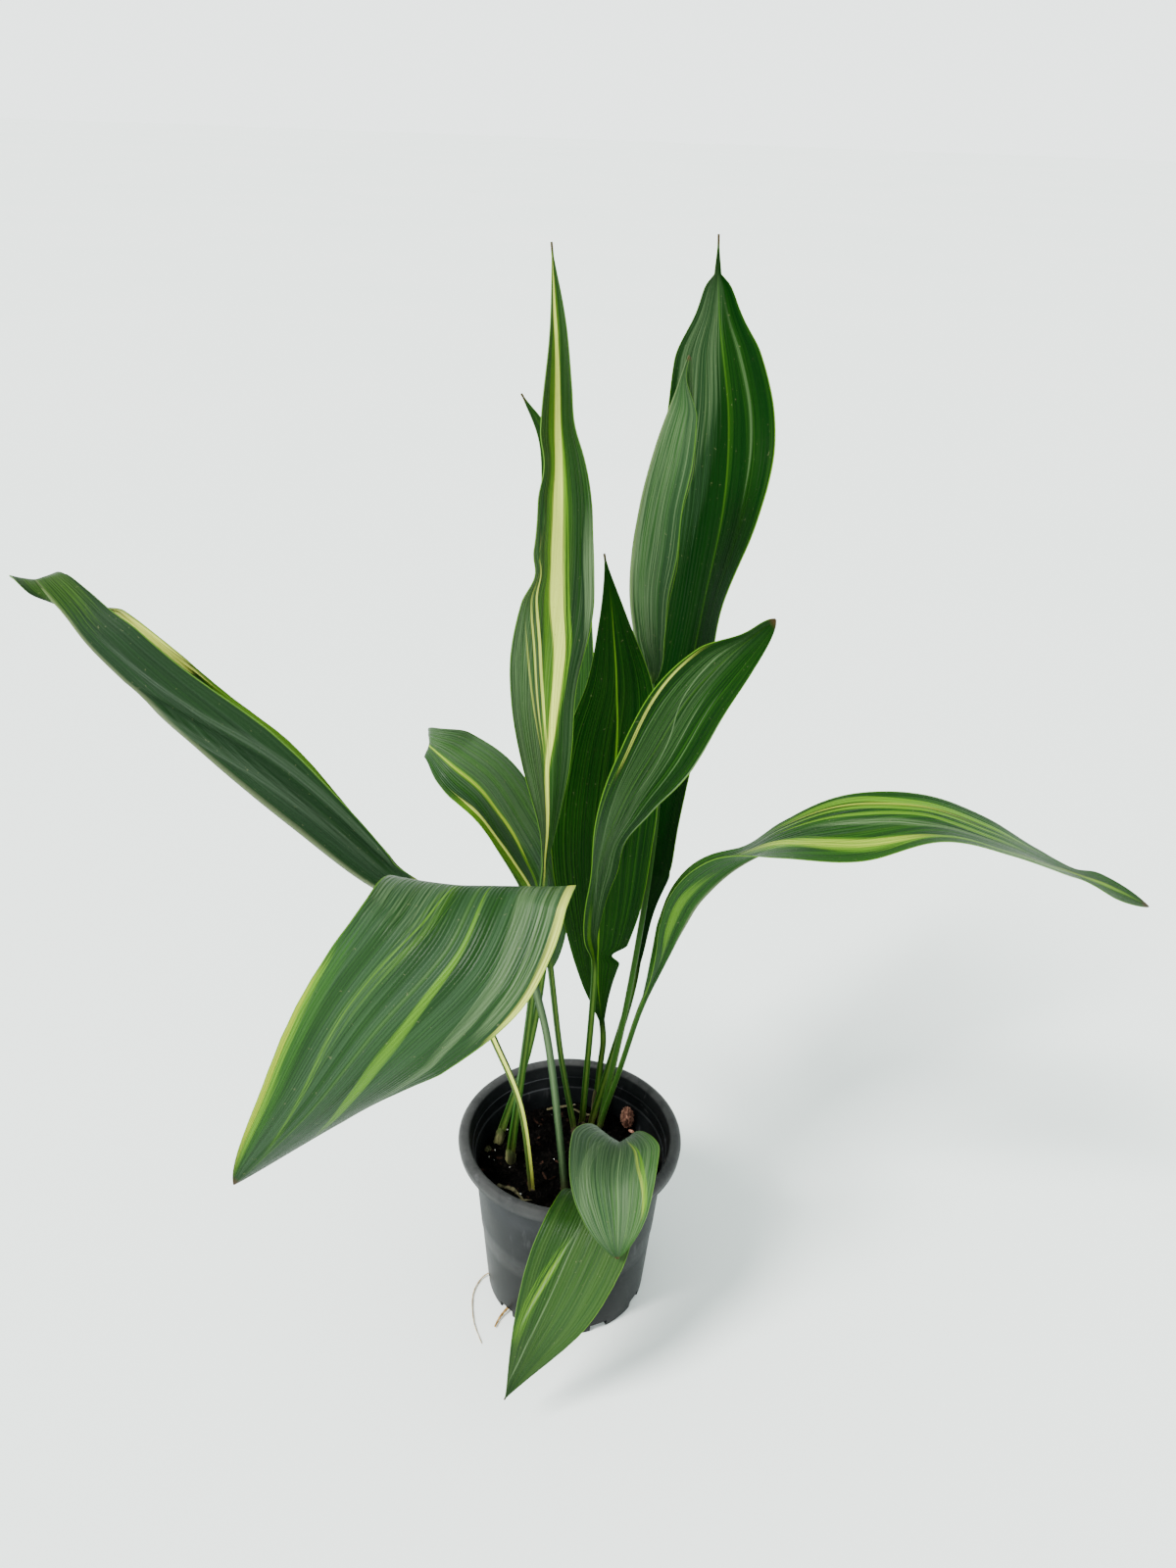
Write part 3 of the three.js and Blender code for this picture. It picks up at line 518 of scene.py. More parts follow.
# two grids of points, a leaf's upper and lower face, with their places across and along the blade
def leafSkin(plan, seed):
    make = leafMake
    curve = leafCurve(plan)
    places, angles = curve[:, :3], curve[:, 3:]
    steps = np.linalg.norm(np.diff(places, axis=0), axis=1)
    curveLengths = np.concatenate([[0], np.cumsum(steps)])
    total = curveLengths[-1]
    bladeStart = curveLengths[(plan["bladeFrom"] + 1) * make["spanSteps"]]
    stemLengths = np.linspace(0, bladeStart, make["stemSteps"], endpoint=False)
    bladeLengths = np.linspace(bladeStart, total, make["bladeSteps"] + 1)
    lengths = np.concatenate([stemLengths, bladeLengths])[:, None]
    place = along(lengths, curveLengths, places)
    turn, left, right = np.radians(along(lengths, curveLengths, angles)).T[..., None]
    ahead = along(np.clip(lengths + make["tangentReach"], 0, total), curveLengths, places)
    behind = along(np.clip(lengths - make["tangentReach"], 0, total), curveLengths, places)
    tangent = unit(ahead - behind)
    side = np.array(plan["side"], float)
    levelSide = unit(side - (tangent @ side)[:, None] * tangent)
    levelUp = np.cross(levelSide, tangent)
    side = levelSide * np.cos(turn) + levelUp * np.sin(turn)
    up = levelUp * np.cos(turn) - levelSide * np.sin(turn)

    bladeLength = total - bladeStart
    dripLength, dripWidth = plan["drip"]
    v = (lengths - bladeStart) / bladeLength
    inside = np.clip(v, 0, 1)
    footShare = np.clip(1 - lengths / make["footReach"], 0, 1)
    stem = plan["stem"] * make["stemShare"] + (plan["foot"] - plan["stem"]) * footShare
    rib = make["tipWidth"] + (stem - make["tipWidth"]) * (1 - inside)
    ribDepth = make["stemDepth"] * stem - make["solidThickness"]
    ribDepth = ribDepth * (1 - inside) ** make["ribFading"]
    outlineV = (lengths - bladeStart) / (bladeLength - dripLength)
    blade = (plan["width"] - dripWidth) * bladeOutline(outlineV, plan["widest"], plan["taper"])
    dripShare = np.clip((1 - v) * bladeLength / max(dripLength, 1), 0, 1) ** make["dripPower"]
    width = np.maximum(blade + dripWidth * dripShare * inside, rib)
    detail = np.minimum(1, (width - rib) / make["detailFrom"])

    half = make["halfSteps"]
    upper, lower, us = [], [], []
    for i in range(-half, half + 1):
        sign = -1 if i < 0 else 1
        fold = left if i < 0 else right
        depth, waves, phase = plan["ruffle"][0 if i < 0 else 1]
        u = (abs(i) / half) ** make["bunching"]
        start = fold * plan["crease"]
        growth = np.where(np.abs(fold - start) < 1e-4, 1e-4, fold - start)
        heading = start + growth * u
        across = (np.sin(heading) - np.sin(start)) / growth
        rise = (np.cos(start) - np.cos(heading)) / growth
        if i == 0:
            heading = heading * 0
        normal = up * np.cos(heading) - sign * side * np.sin(heading)
        ruffle = depth * u * u * np.sin(2 * np.pi * waves * inside + phase)
        ruffle = ruffle * np.sin(np.pi * inside)
        rate, speed = make["waverRates"]
        waver = np.abs(noiseAlong(seed + 0.3 * sign, rate * u, speed * inside))
        reach = 1 - make["edgeWaver"] * waver * detail * u
        reach = reach * halfShare(plan["bites"], sign, inside) * width / 2
        rate, speed = make["quiltRates"]
        quilt = noiseAlong(seed, rate * sign * u, speed * inside)
        lift = make["quilting"] * quilt * detail + creaseDepth(plan["creases"], sign * u, v)
        point = place + side * sign * across * reach + up * (rise * reach + ruffle) + normal * lift
        ribShare = np.sqrt(np.clip(1 - (u * width / np.minimum(width, rib)) ** 2, 0, 1))
        upper.append(point)
        lower.append(point - normal * (make["thickness"] + ribDepth * ribShare))
        us.append(sign * u)
    return np.stack(upper, 1), np.stack(lower, 1), np.array(us), v


def makeLeaf(name, plan, seed, material):
    upper, lower, us, vs = leafSkin(plan, seed)
    leaf = makeShell(name, upper, lower, material)
    rings, across = upper.shape[:2]
    mesh = leaf.data
    uv = np.zeros((rings, 2, across, 2))
    uv[..., 0] = 0.5 + 0.5 * us
    uv[..., 1] = vs[:, None]
    corners = np.zeros(len(mesh.loops), dtype=int)
    mesh.loops.foreach_get("vertex_index", corners)
    layer = mesh.uv_layers.new(name="leafMap")
    layer.data.foreach_set("uv", uv.reshape(-1, 2)[corners].ravel())
    under = np.zeros((rings, 2, across))
    under[:, 1] = 1
    mesh.attributes.new("underside", "FLOAT", "POINT").data.foreach_set("value", under.ravel())
    ends = np.zeros(len(mesh.edges) * 2, dtype=int)
    mesh.edges.foreach_get("vertices", ends)
    ends = ends.reshape(-1, 2) % (2 * across)
    margins = (0, across - 1, across, 2 * across - 1)
    rim = (ends[:, 0] == ends[:, 1]) & np.isin(ends[:, 0], margins)
    mesh.edges.foreach_set("use_edge_sharp", rim)
    return leaf


greens = {
    "deep": rgb(0.0003, 0.0150, 0.0003),
    "leaf": rgb(0.0025, 0.0240, 0.0010),
    "fresh": rgb(0.014, 0.066, 0.003),
    "meadow": rgb(0.022, 0.056, 0.007),
    "lime": rgb(0.085, 0.210, 0.006),
    "yellow": rgb(0.300, 0.400, 0.025),
    "gold": rgb(0.210, 0.280, 0.004),
    "cream": rgb(0.680, 0.760, 0.110),
    "ivory": rgb(0.780, 0.840, 0.480),
    "grey": rgb(0.020, 0.050, 0.020),
    "pale": rgb(0.120, 0.190, 0.085),
    "slate": rgb(0.0055, 0.0140, 0.0060),
    "olive": rgb(0.090, 0.088, 0.020),
    # a painted highlight, laid beside a leaf's folds
    "sheen": rgb(0.050, 0.080, 0.048),
    "stalk": rgb(0.020, 0.064, 0.008),
    # a painted highlight, down the middle of a stalk
    "stalkHighlight": rgb(0.110, 0.200, 0.032),
    "dry": rgb(0.060, 0.032, 0.012),
    "speck": rgb(0.12, 0.13, 0.06),
}
# how the ribs lie: times across and along the blade for each of four sizes, and how they add up
veinPlan = {
    "rates": ((9.0, 1.2), (24.0, 1.0), (60.0, 1.6), (110.0, 3.0)), "sway": 0.5,
    "heights": (0.3, 1.0, 0.45, 0.2), "fullTurn": 6.2832,
}
# how a stripe's streaks run across and along, and how soft its sides and its ends are
stripePlan = {
    "rates": (44.0, 3.0), "softShare": 0.4, "soft": 0.008, "wander": 0.25, "endReach": 0.06,
}


# ribs that run the length of a blade: broad bands, crisp pale lines, dark grooves and their relief
def makeVeins(plan):
    tree, given, result = newGroup("lengthwiseVeins", floats("Across", "Along", "Seed", "Ribs"),
                                   floats("Broad", "Fine", "Groove", "Height"))
    bands = []
    for often, slow in plan["rates"]:
        spot = asVector(tree, times(tree, given["Across"], often),
                        times(tree, given["Along"], slow), given["Seed"])
        bands.append(grain(tree, spot, 1.0, 1.5))
    broad, middling, fine, thread = bands
    sway = times(tree, minus(tree, broad, 0.5), plan["sway"])
    turns = plus(tree, times(tree, given["Across"], given["Ribs"]), sway)
    turns = times(tree, turns, plan["fullTurn"])
    wave = timesPlus(tree, calc(tree, "COSINE", turns), 0.5, 0.5)
    relief = times(tree, wave, plan["heights"][0])
    for height, band in zip(plan["heights"][1:], (middling, fine, thread)):
        relief = timesPlus(tree, band, height, relief)
    crisp = calc(tree, "MAXIMUM", ease(tree, middling, 0.54, 0.62),
                 ease(tree, fine, 0.52, 0.66, 0.0, 0.65))
    groove = times(tree, ease(tree, wave, 0.42, 0.0), ease(tree, middling, 0.32, 0.58))
    giveOut(tree, result, {"Broad": ease(tree, broad, 0.40, 0.62), "Fine": crisp,
                           "Groove": groove, "Height": relief})
    return tree


# one pale stripe with streaky sides and ends
def makeStripeGroup(plan):
    tree, given, result = newGroup(
        "paleStripe", floats("Across", "Along", "Centre", "Half Width", "Start", "End", "Feather",
                             "Seed"), floats("Mask"))
    often, slow = plan["rates"]
    fromCentre = minus(tree, given["Across"], given["Centre"])
    streakAt = asVector(tree, times(tree, fromCentre, often), times(tree, given["Along"], slow),
                        given["Seed"])
    streak = grain(tree, streakAt, 1.0, 2.0)
    loose = minus(tree, streak, 0.5)
    half = times(tree, given["Half Width"], plus(tree, 1.0, loose))
    softness = plus(tree, times(tree, half, plan["softShare"]), plan["soft"])
    body = calc(tree, "DIVIDE", minus(tree, half, calc(tree, "ABSOLUTE", fromCentre)), softness)
    body = plus(tree, body, 0.5, clamp=True)
    place = plus(tree, given["Along"], times(tree, loose, plan["wander"]))
    sinceStart, beforeEnd = [calc(tree, "DIVIDE", minus(tree, *pair), plan["endReach"])
                             for pair in ((place, given["Start"]), (given["End"], place))]
    ends = plus(tree, calc(tree, "MINIMUM", sinceStart, beforeEnd), 0.0, clamp=True)
    gaps = times(tree, given["Feather"], minus(tree, 1.0, ease(tree, streak, 0.42, 0.60)))
    giveOut(tree, result, {"Mask": times(tree, body, ends, minus(tree, 1.0, gaps))})
    return tree


veinGroup = makeVeins(veinPlan)
stripeGroup = makeStripeGroup(stripePlan)

# what a leaf's look holds unless it says otherwise
plainLook = {
    "dark": "leaf", "light": "fresh", "mottle": 0.2, "streaks": 0.3, "streakColour": "fresh",
    "margin": 0.5, "rib": 0.0, "gloss": 0.1, "under": 0.6, "dull": 0.5, "dullTone": "grey",
    "underRib": 0.3, "stem": "stalk", "stemHighlight": "stalkHighlight", "stemSide": None, "stemMottle": 0.8,
}
# A stripe is (colour, strength, feather, (v, u, half width), ...) with v from the blade's base
# to its tip and u from its left edge, -1, to its right edge, 1.
leafLooks = {}
leafLooks["leaf_far_left"] = dict(
    ribs=13, dark="deep", light="leaf", mottle=0.06, streakColour="grey", margin=0.8, rib=0.1,
    gloss=0.16, under=0.7, dull=0.3, dullTone="slate", underRib=0.1, stem="cream",
    stemHighlight="cream", stemSide="stalk", stemMottle=0.15,
    stripes=[
        ("cream", 1.0, 0.2, (0.58, 0.95, 0.05), (0.66, 0.9, 0.16), (0.76, 0.92, 0.05)),
        ("lime", 0.8, 0.3, (0.05, 0.97, 0.03), (0.45, 0.95, 0.07), (0.6, 0.95, 0.05)),
        ("deep", 0.5, 0.6, (0.02, -0.1, 0.3), (0.3, 0.0, 0.22), (0.5, 0.3, 0.25), (0.7, 0.2, 0.3)),
        # the next two stripes are painted highlights beside the long folds
        ("sheen", 0.45, 0.6, (0.1, -0.88, 0.08), (0.3, -0.8, 0.08), (0.42, -0.7, 0.07),
         (0.55, -0.5, 0.06), (0.75, -0.3, 0.05)),
        ("sheen", 0.4, 0.6, (0.08, -0.56, 0.05), (0.25, -0.46, 0.07), (0.4, -0.32, 0.07),
         (0.5, -0.14, 0.06), (0.66, 0.14, 0.04)),
        # the next two dark stripes are painted shade along the folds
        ("deep", 1.0, 0.0, (0.06, -0.74, 0.04), (0.2, -0.66, 0.06), (0.3, -0.58, 0.055),
         (0.4, -0.53, 0.08), (0.5, -0.34, 0.055), (0.63, -0.04, 0.03), (0.72, 0.1, 0.012)),
        ("deep", 0.9, 0.1, (0.05, -0.3, 0.02), (0.16, -0.3, 0.035), (0.28, -0.22, 0.02),
         (0.36, -0.2, 0.01)),
        ("lime", 0.3, 0.5, (0.76, 0.0, 0.7), (0.88, -0.1, 0.9), (1.0, 0.0, 1.0)),
    ])
leafLooks["leaf_front_left"] = dict(
    ribs=24, light="grey", streaks=0.15, rib=0.1, gloss=0.16, under=0.8, underRib=0.5, stem="grey",
    stemHighlight="pale",
    stripes=[
        # this soft pale stripe is a painted sheen over the top of the arch
        ("pale", 0.3, 1.0, (0.0, 0.6, 0.6), (0.25, 0.65, 0.4), (0.42, 0.7, 0.3), (0.5, 0.75, 0.2)),
        ("pale", 0.4, 0.5, (0.2, -0.5, 0.12), (0.32, -0.55, 0.1), (0.5, -0.68, 0.07),
         (0.62, -0.8, 0.05), (0.76, -0.92, 0.04)),
        ("pale", 0.45, 0.8, (0.15, -0.78, 0.12), (0.4, -0.82, 0.07), (0.55, -0.9, 0.04)),
        ("cream", 0.6, 0.3, (0.0, -0.99, 0.08), (0.2, -0.99, 0.08), (0.42, -0.98, 0.05),
         (0.54, -1.0, 0.02)),
        ("lime", 0.7, 0.15, (0.26, -0.1, 0.015), (0.4, -0.12, 0.022), (0.5, -0.16, 0.04),
         (0.6, -0.25, 0.06), (0.7, -0.34, 0.075), (0.8, -0.54, 0.075), (0.86, -0.9, 0.07)),
        ("lime", 0.28, 1.0, (0.28, 0.16, 0.08), (0.4, 0.3, 0.1), (0.6, 0.42, 0.08),
         (0.75, 0.32, 0.06), (0.9, 0.12, 0.06), (0.96, -0.15, 0.06)),
        ("lime", 0.4, 0.3, (0.3, 0.25, 0.008), (0.6, 0.44, 0.009), (0.8, 0.3, 0.012),
         (0.9, 0.12, 0.012)),
        ("fresh", 0.8, 0.3, (0.5, 0.92, 0.08), (0.65, 0.87, 0.14), (0.85, 0.8, 0.22),
         (0.98, 0.7, 0.3)),
        ("lime", 0.85, 0.2, (0.55, 0.99, 0.04), (0.68, 0.96, 0.09), (0.85, 0.91, 0.15),
         (0.99, 0.85, 0.2)),
        ("gold", 0.9, 0.05, (0.58, 1.0, 0.03), (0.7, 0.99, 0.06), (0.85, 0.97, 0.09),
         (0.98, 0.95, 0.1)),
    ])
leafLooks["leaf_tall_left"] = dict(
    ribs=12, streaks=0.35, streakColour="pale", margin=0.7, rib=0.2, gloss=0.12, under=0.8,
    dull=0.55, underRib=0.5,
    stripes=[
        ("pale", 0.45, 0.9, (0.05, -0.5, 0.4), (0.25, -0.4, 0.5), (0.45, -0.6, 0.35),
         (0.55, -0.8, 0.2)),
        ("lime", 0.75, 0.5, (0.2, 0.0, 0.1), (0.35, 0.3, 0.3), (0.5, 0.1, 0.34), (0.65, 0.0, 0.34),
         (0.85, -0.2, 0.34), (1.0, -0.4, 0.5)),
        ("deep", 0.55, 0.2, (0.1, 0.6, 0.35), (0.35, 0.8, 0.3), (0.5, 0.65, 0.26),
         (0.65, 0.55, 0.3), (0.9, 0.5, 0.35)),
        ("leaf", 0.9, 0.1, (0.3, 0.58, 0.02), (0.45, 0.5, 0.03), (0.6, 0.3, 0.03),
         (0.8, 0.24, 0.03)),
        ("lime", 1.0, 0.1, (0.3, 0.5, 0.04), (0.4, 0.6, 0.05), (0.5, 0.4, 0.06),
         (0.62, 0.26, 0.05), (0.8, 0.2, 0.04)),
        ("leaf", 0.9, 0.1, (0.32, 0.6, 0.012), (0.4, 0.6, 0.014), (0.5, 0.4, 0.014),
         (0.7, 0.22, 0.014)),
        ("cream", 1.0, 0.02, (0.0, 0.0, 0.3), (0.2, 0.05, 0.1), (0.3, 0.33, 0.11),
         (0.38, 0.4, 0.13), (0.5, 0.17, 0.17), (0.6, 0.04, 0.16), (0.8, 0.0, 0.14),
         (0.86, -0.12, 0.15), (0.92, -0.4, 0.2), (1.0, -0.6, 0.3)),
        ("cream", 0.85, 0.2, (0.24, 0.1, 0.02), (0.3, 0.08, 0.03), (0.4, -0.1, 0.035),
         (0.5, -0.42, 0.035), (0.58, -0.7, 0.03)),
        ("cream", 0.75, 0.3, (0.25, 0.0, 0.02), (0.4, -0.26, 0.025), (0.5, -0.6, 0.03),
         (0.54, -0.72, 0.03)),
        ("cream", 0.5, 0.5, (0.26, -0.1, 0.02), (0.4, -0.45, 0.025), (0.48, -0.75, 0.02)),
        # the next pale band is a painted highlight along the right-hand fold, and the dark line
        # after it is painted shade in that fold
        ("pale", 0.6, 0.7, (0.44, 0.97, 0.06), (0.52, 0.9, 0.13), (0.6, 0.88, 0.12),
         (0.66, 0.95, 0.05)),
        ("deep", 1.0, 0.0, (0.4, 0.86, 0.012), (0.5, 0.76, 0.02), (0.58, 0.7, 0.022),
         (0.66, 0.84, 0.012)),
    ])
leafLooks["leaf_behind_left"] = dict(
    ribs=11, streaks=0.4, margin=0.8, rib=0.3, gloss=0.14, underRib=0.5,
    stripes=[
        ("lime", 0.8, 0.3, (0.0, 0.9, 0.1), (0.5, 0.95, 0.1)),
    ])
leafLooks["leaf_dark_middle"] = dict(
    ribs=16, dark="deep", light="leaf", mottle=0.12, streaks=0.5, margin=0.4, gloss=0.04,
    stripes=[
        ("lime", 0.9, 0.1, (0.05, 0.0, 0.05), (0.45, 0.0, 0.02), (0.65, 0.1, 0.02),
         (0.8, -0.12, 0.025), (0.92, -0.05, 0.02)),
    ])
leafLooks["leaf_narrow_folded"] = dict(
    ribs=11, mottle=0.1, streaks=0.6, streakColour="pale", margin=0.7, rib=0.3, under=0.9,
    dull=0.4, underRib=0.05,
    stripes=[
        ("pale", 0.5, 1.0, (0.1, -0.1, 0.5), (0.9, -0.1, 0.5)),
    ])
leafLooks["leaf_tall_right"] = dict(
    ribs=15, dark="deep", light="leaf", mottle=0.0, streaks=0.2, margin=0.9, gloss=0.04, under=0.7,
    stripes=[
        # the first dark stripe is a painted shadow, cast by other leaves over the lower blade; the
        # grey and pale stripes after it are a painted sheen on the upper left
        ("deep", 0.8, 0.4, (0.0, 0.0, 1.0), (0.4, 0.1, 1.0), (0.7, 0.15, 0.5), (0.85, 0.1, 0.2)),
        ("grey", 0.6, 0.7, (0.6, -0.5, 0.1), (0.75, -0.45, 0.3), (0.85, -0.4, 0.45),
         (0.93, -0.3, 0.6), (1.0, 0.0, 0.8)),
        ("pale", 0.35, 1.0, (0.7, -0.6, 0.1), (0.8, -0.5, 0.35), (0.9, -0.4, 0.5),
         (1.0, 0.0, 0.8)),
        ("fresh", 0.45, 0.3, (0.3, 0.12, 0.02), (0.6, 0.12, 0.03), (0.85, 0.16, 0.06),
         (0.97, 0.05, 0.08)),
        ("lime", 0.3, 0.4, (0.35, 0.14, 0.008), (0.7, 0.13, 0.012), (0.88, 0.12, 0.015),
         (0.97, 0.03, 0.02)),
        ("fresh", 0.3, 0.9, (0.5, 0.55, 0.04), (0.75, 0.55, 0.08), (0.95, 0.4, 0.2)),
        ("pale", 0.3, 0.8, (0.7, 0.52, 0.02), (0.85, 0.5, 0.04), (0.96, 0.3, 0.06)),
    ])
leafLooks["leaf_small_left"] = dict(
    ribs=12, dark="grey", mottle=0.4, streaks=0.2, gloss=0.18, underRib=0.4,
    stripes=[
        ("pale", 0.22, 0.6, (0.4, 0.4, 0.3), (0.7, 0.4, 0.7), (1.0, 0.3, 1.0)),
        ("lime", 0.9, 0.05, (0.1, -0.2, 0.08), (0.38, -0.1, 0.05), (0.5, 0.02, 0.05),
         (0.6, -0.04, 0.06), (0.8, -0.08, 0.08), (0.9, -0.14, 0.09), (0.96, -0.35, 0.12),
         (1.0, -0.7, 0.2)),
        ("yellow", 0.8, 0.05, (0.38, -0.09, 0.02), (0.5, 0.02, 0.03), (0.6, -0.04, 0.035),
         (0.8, -0.08, 0.04), (0.9, -0.14, 0.03), (0.94, -0.25, 0.03)),
        ("lime", 0.9, 0.2, (0.25, -0.55, 0.15), (0.45, -0.75, 0.2), (0.6, -0.88, 0.15),
         (0.74, -0.95, 0.1)),
        ("cream", 1.0, 0.1, (0.26, -0.38, 0.05), (0.4, -0.56, 0.06), (0.5, -0.6, 0.06),
         (0.6, -0.7, 0.06), (0.7, -0.78, 0.04)),
    ])
leafLooks["leaf_arching_right"] = dict(
    ribs=13, streaks=0.45, margin=0.8, rib=0.1, under=0.5, underRib=0.15,
    stripes=[
        ("lime", 0.9, 0.4, (0.32, -0.6, 0.1), (0.42, 0.05, 0.2), (0.52, 0.45, 0.22),
         (0.62, 0.65, 0.1)),
        ("yellow", 1.0, 0.7, (0.33, -0.6, 0.08), (0.4, -0.12, 0.1), (0.45, 0.2, 0.16),
         (0.52, 0.4, 0.14), (0.6, 0.58, 0.08), (0.64, 0.68, 0.04)),
        ("lime", 0.95, 0.2, (0.36, -0.85, 0.04), (0.5, -0.86, 0.05), (0.6, -0.7, 0.07),
         (0.7, -0.64, 0.07), (0.82, -0.7, 0.06)),
        ("yellow", 0.6, 0.5, (0.4, -0.8, 0.02), (0.5, -0.74, 0.03), (0.6, -0.6, 0.04),
         (0.7, -0.5, 0.03)),
        ("lime", 0.9, 0.3, (0.36, -0.7, 0.02), (0.5, -0.66, 0.03), (0.6, -0.5, 0.05),
         (0.7, -0.4, 0.05), (0.78, -0.5, 0.04)),
        ("lime", 0.9, 0.4, (0.38, -0.6, 0.02), (0.5, -0.5, 0.03), (0.6, -0.34, 0.05),
         (0.68, -0.16, 0.06), (0.8, -0.2, 0.05)),
        ("pale", 0.7, 0.8, (0.45, -0.4, 0.04), (0.55, -0.2, 0.08), (0.65, 0.05, 0.08),
         (0.75, 0.0, 0.06)),
        ("lime", 0.9, 0.3, (0.55, 0.75, 0.03), (0.66, 0.6, 0.06), (0.74, 0.7, 0.08),
         (0.82, 0.4, 0.12), (0.88, -0.1, 0.12), (1.0, -0.2, 0.16)),
        ("yellow", 0.5, 0.7, (0.72, 0.6, 0.05), (0.8, 0.3, 0.08), (0.88, -0.2, 0.08),
         (0.96, -0.2, 0.1)),
        ("lime", 0.9, 0.15, (0.1, 0.45, 0.06), (0.2, 0.55, 0.16), (0.3, 0.4, 0.1)),
        ("lime", 0.9, 0.15, (0.1, -0.4, 0.06), (0.2, -0.45, 0.14), (0.3, -0.5, 0.06)),
    ])
leafLooks["leaf_middle_right"] = dict(
    ribs=13, dark="deep", light="leaf", mottle=0.1, streaks=0.6, margin=0.8, rib=0.1, gloss=0.05,
    stripes=[
        ("pale", 0.22, 1.0, (0.08, 0.6, 0.3), (0.2, 0.5, 0.3), (0.35, 0.2, 0.45), (0.5, 0.0, 0.45),
         (0.75, -0.1, 0.4), (0.96, -0.2, 0.4)),
        ("cream", 0.6, 1.0, (0.56, -0.72, 0.02), (0.68, -0.78, 0.05), (0.78, -0.84, 0.05),
         (0.9, -0.93, 0.04)),
        ("lime", 0.5, 0.6, (0.4, -0.9, 0.02), (0.55, -0.85, 0.02), (0.68, -0.75, 0.03)),
        ("pale", 0.55, 0.3, (0.2, 0.35, 0.012), (0.3, 0.08, 0.012), (0.4, -0.2, 0.015),
         (0.5, -0.42, 0.02), (0.6, -0.52, 0.015), (0.8, -0.54, 0.012)),
        ("pale", 0.55, 0.3, (0.5, 0.2, 0.008), (0.65, 0.2, 0.01), (0.8, -0.18, 0.015),
         (0.95, -0.36, 0.03)),
        ("pale", 0.5, 0.3, (0.15, 0.6, 0.012), (0.35, 0.5, 0.012), (0.6, 0.42, 0.01),
         (0.85, 0.3, 0.01)),
        ("pale", 0.5, 0.3, (0.15, 0.7, 0.012), (0.35, 0.66, 0.012), (0.6, 0.62, 0.01),
         (0.85, 0.55, 0.01)),
        ("pale", 0.8, 0.3, (0.34, 0.93, 0.022), (0.5, 0.97, 0.022), (0.7, 0.99, 0.018),
         (0.85, 1.0, 0.015)),
        ("lime", 0.6, 0.6, (0.0, -0.3, 0.4), (0.1, -0.2, 0.3), (0.22, 0.1, 0.1)),
    ])
leafLooks["leaf_front_small"] = dict(
    ribs=12, dark="grey", mottle=0.1, streakColour="pale", gloss=0.12, under=0.7, underRib=0.4,
    stem="grey",
    stripes=[
        ("grey", 0.8, 0.2, (0.3, 0.0, 0.9), (0.5, 0.0, 0.7), (0.7, 0.0, 0.3)),
        ("pale", 0.3, 0.9, (0.35, 0.0, 1.0), (0.7, 0.0, 1.0), (0.98, 0.0, 1.0)),
        ("yellow", 0.6, 0.5, (0.42, -0.26, 0.02), (0.5, -0.42, 0.025), (0.6, -0.56, 0.03),
         (0.72, -0.76, 0.04), (0.84, -0.86, 0.03)),
        ("lime", 0.8, 0.4, (0.46, -0.4, 0.02), (0.6, -0.66, 0.04), (0.75, -0.84, 0.05),
         (0.84, -0.92, 0.03)),
        ("pale", 0.8, 0.1, (0.45, -0.1, 0.01), (0.7, -0.12, 0.012), (0.97, -0.1, 0.02)),
        ("pale", 0.35, 0.7, (0.45, 0.3, 0.05), (0.6, 0.6, 0.12), (0.75, 0.8, 0.15),
         (0.85, 0.9, 0.1)),
    ])
leafLooks["leaf_front_hanging"] = dict(
    ribs=14, light="meadow", gloss=0.14, under=0.5, underRib=0.4,
    stripes=[
        ("meadow", 0.4, 0.5, (0.1, 0.0, 1.0), (0.5, 0.0, 1.0), (0.95, 0.0, 1.0)),
        ("pale", 0.07, 1.0, (0.2, -0.2, 0.6), (0.5, -0.35, 0.5), (0.8, -0.3, 0.4)),
        ("lime", 0.6, 1.0, (0.35, 0.3, 0.05), (0.5, 0.48, 0.12), (0.65, 0.7, 0.18),
         (0.8, 0.85, 0.12)),
        ("pale", 0.7, 0.5, (0.3, 0.22, 0.012), (0.45, 0.36, 0.02), (0.6, 0.56, 0.03),
         (0.72, 0.78, 0.03)),
        ("pale", 0.6, 0.4, (0.3, 0.18, 0.012), (0.6, 0.2, 0.02), (0.75, 0.28, 0.03),
         (0.85, 0.42, 0.05), (0.92, 0.75, 0.06), (0.95, 0.95, 0.05)),
        ("yellow", 0.3, 1.0, (0.42, 0.34, 0.02), (0.55, 0.5, 0.05), (0.68, 0.7, 0.05)),
    ])
# how every leaf's finish is laid out; a band is where a thing begins and ends, across the blade,
# along it or in metres over the floor
leafFinish = {
    "seedStep": 1.7, "stripeSeedStep": 3.1, "broadShare": 0.8, "patchScale": 14.0,
    "patchBand": (0.35, 0.7), "grooveShare": 0.55, "marginBand": (0.978, 0.992),
    "ribBand": (0.012, 0.035), "underRibBand": (0.02, 0.07), "tipBand": (0.985, 0.998),
    "tipWander": 0.006, "tipShare": 0.8, "stalkBand": (-0.01, 0.05), "stalkRates": (3.0, 8.0),
    "stalkHighlightBand": (0.1, 0.7), "stalkHighlightShare": 0.75, "sideBand": (-0.93, -0.80), "sideShare": 0.95,
    "oliveBand": (0.116, 0.145), "oliveShare": 0.35, "brownBand": (0.114, 0.135),
    "brownShare": 0.9, "speckScale": 420.0, "speckBand": (0.70, 0.74), "speckShare": 0.35,
    "speckHeight": 0.15, "bump": (0.75, 0.0011), "rough": 0.40, "broadRough": 0.10,
    "underRough": 0.18,
}


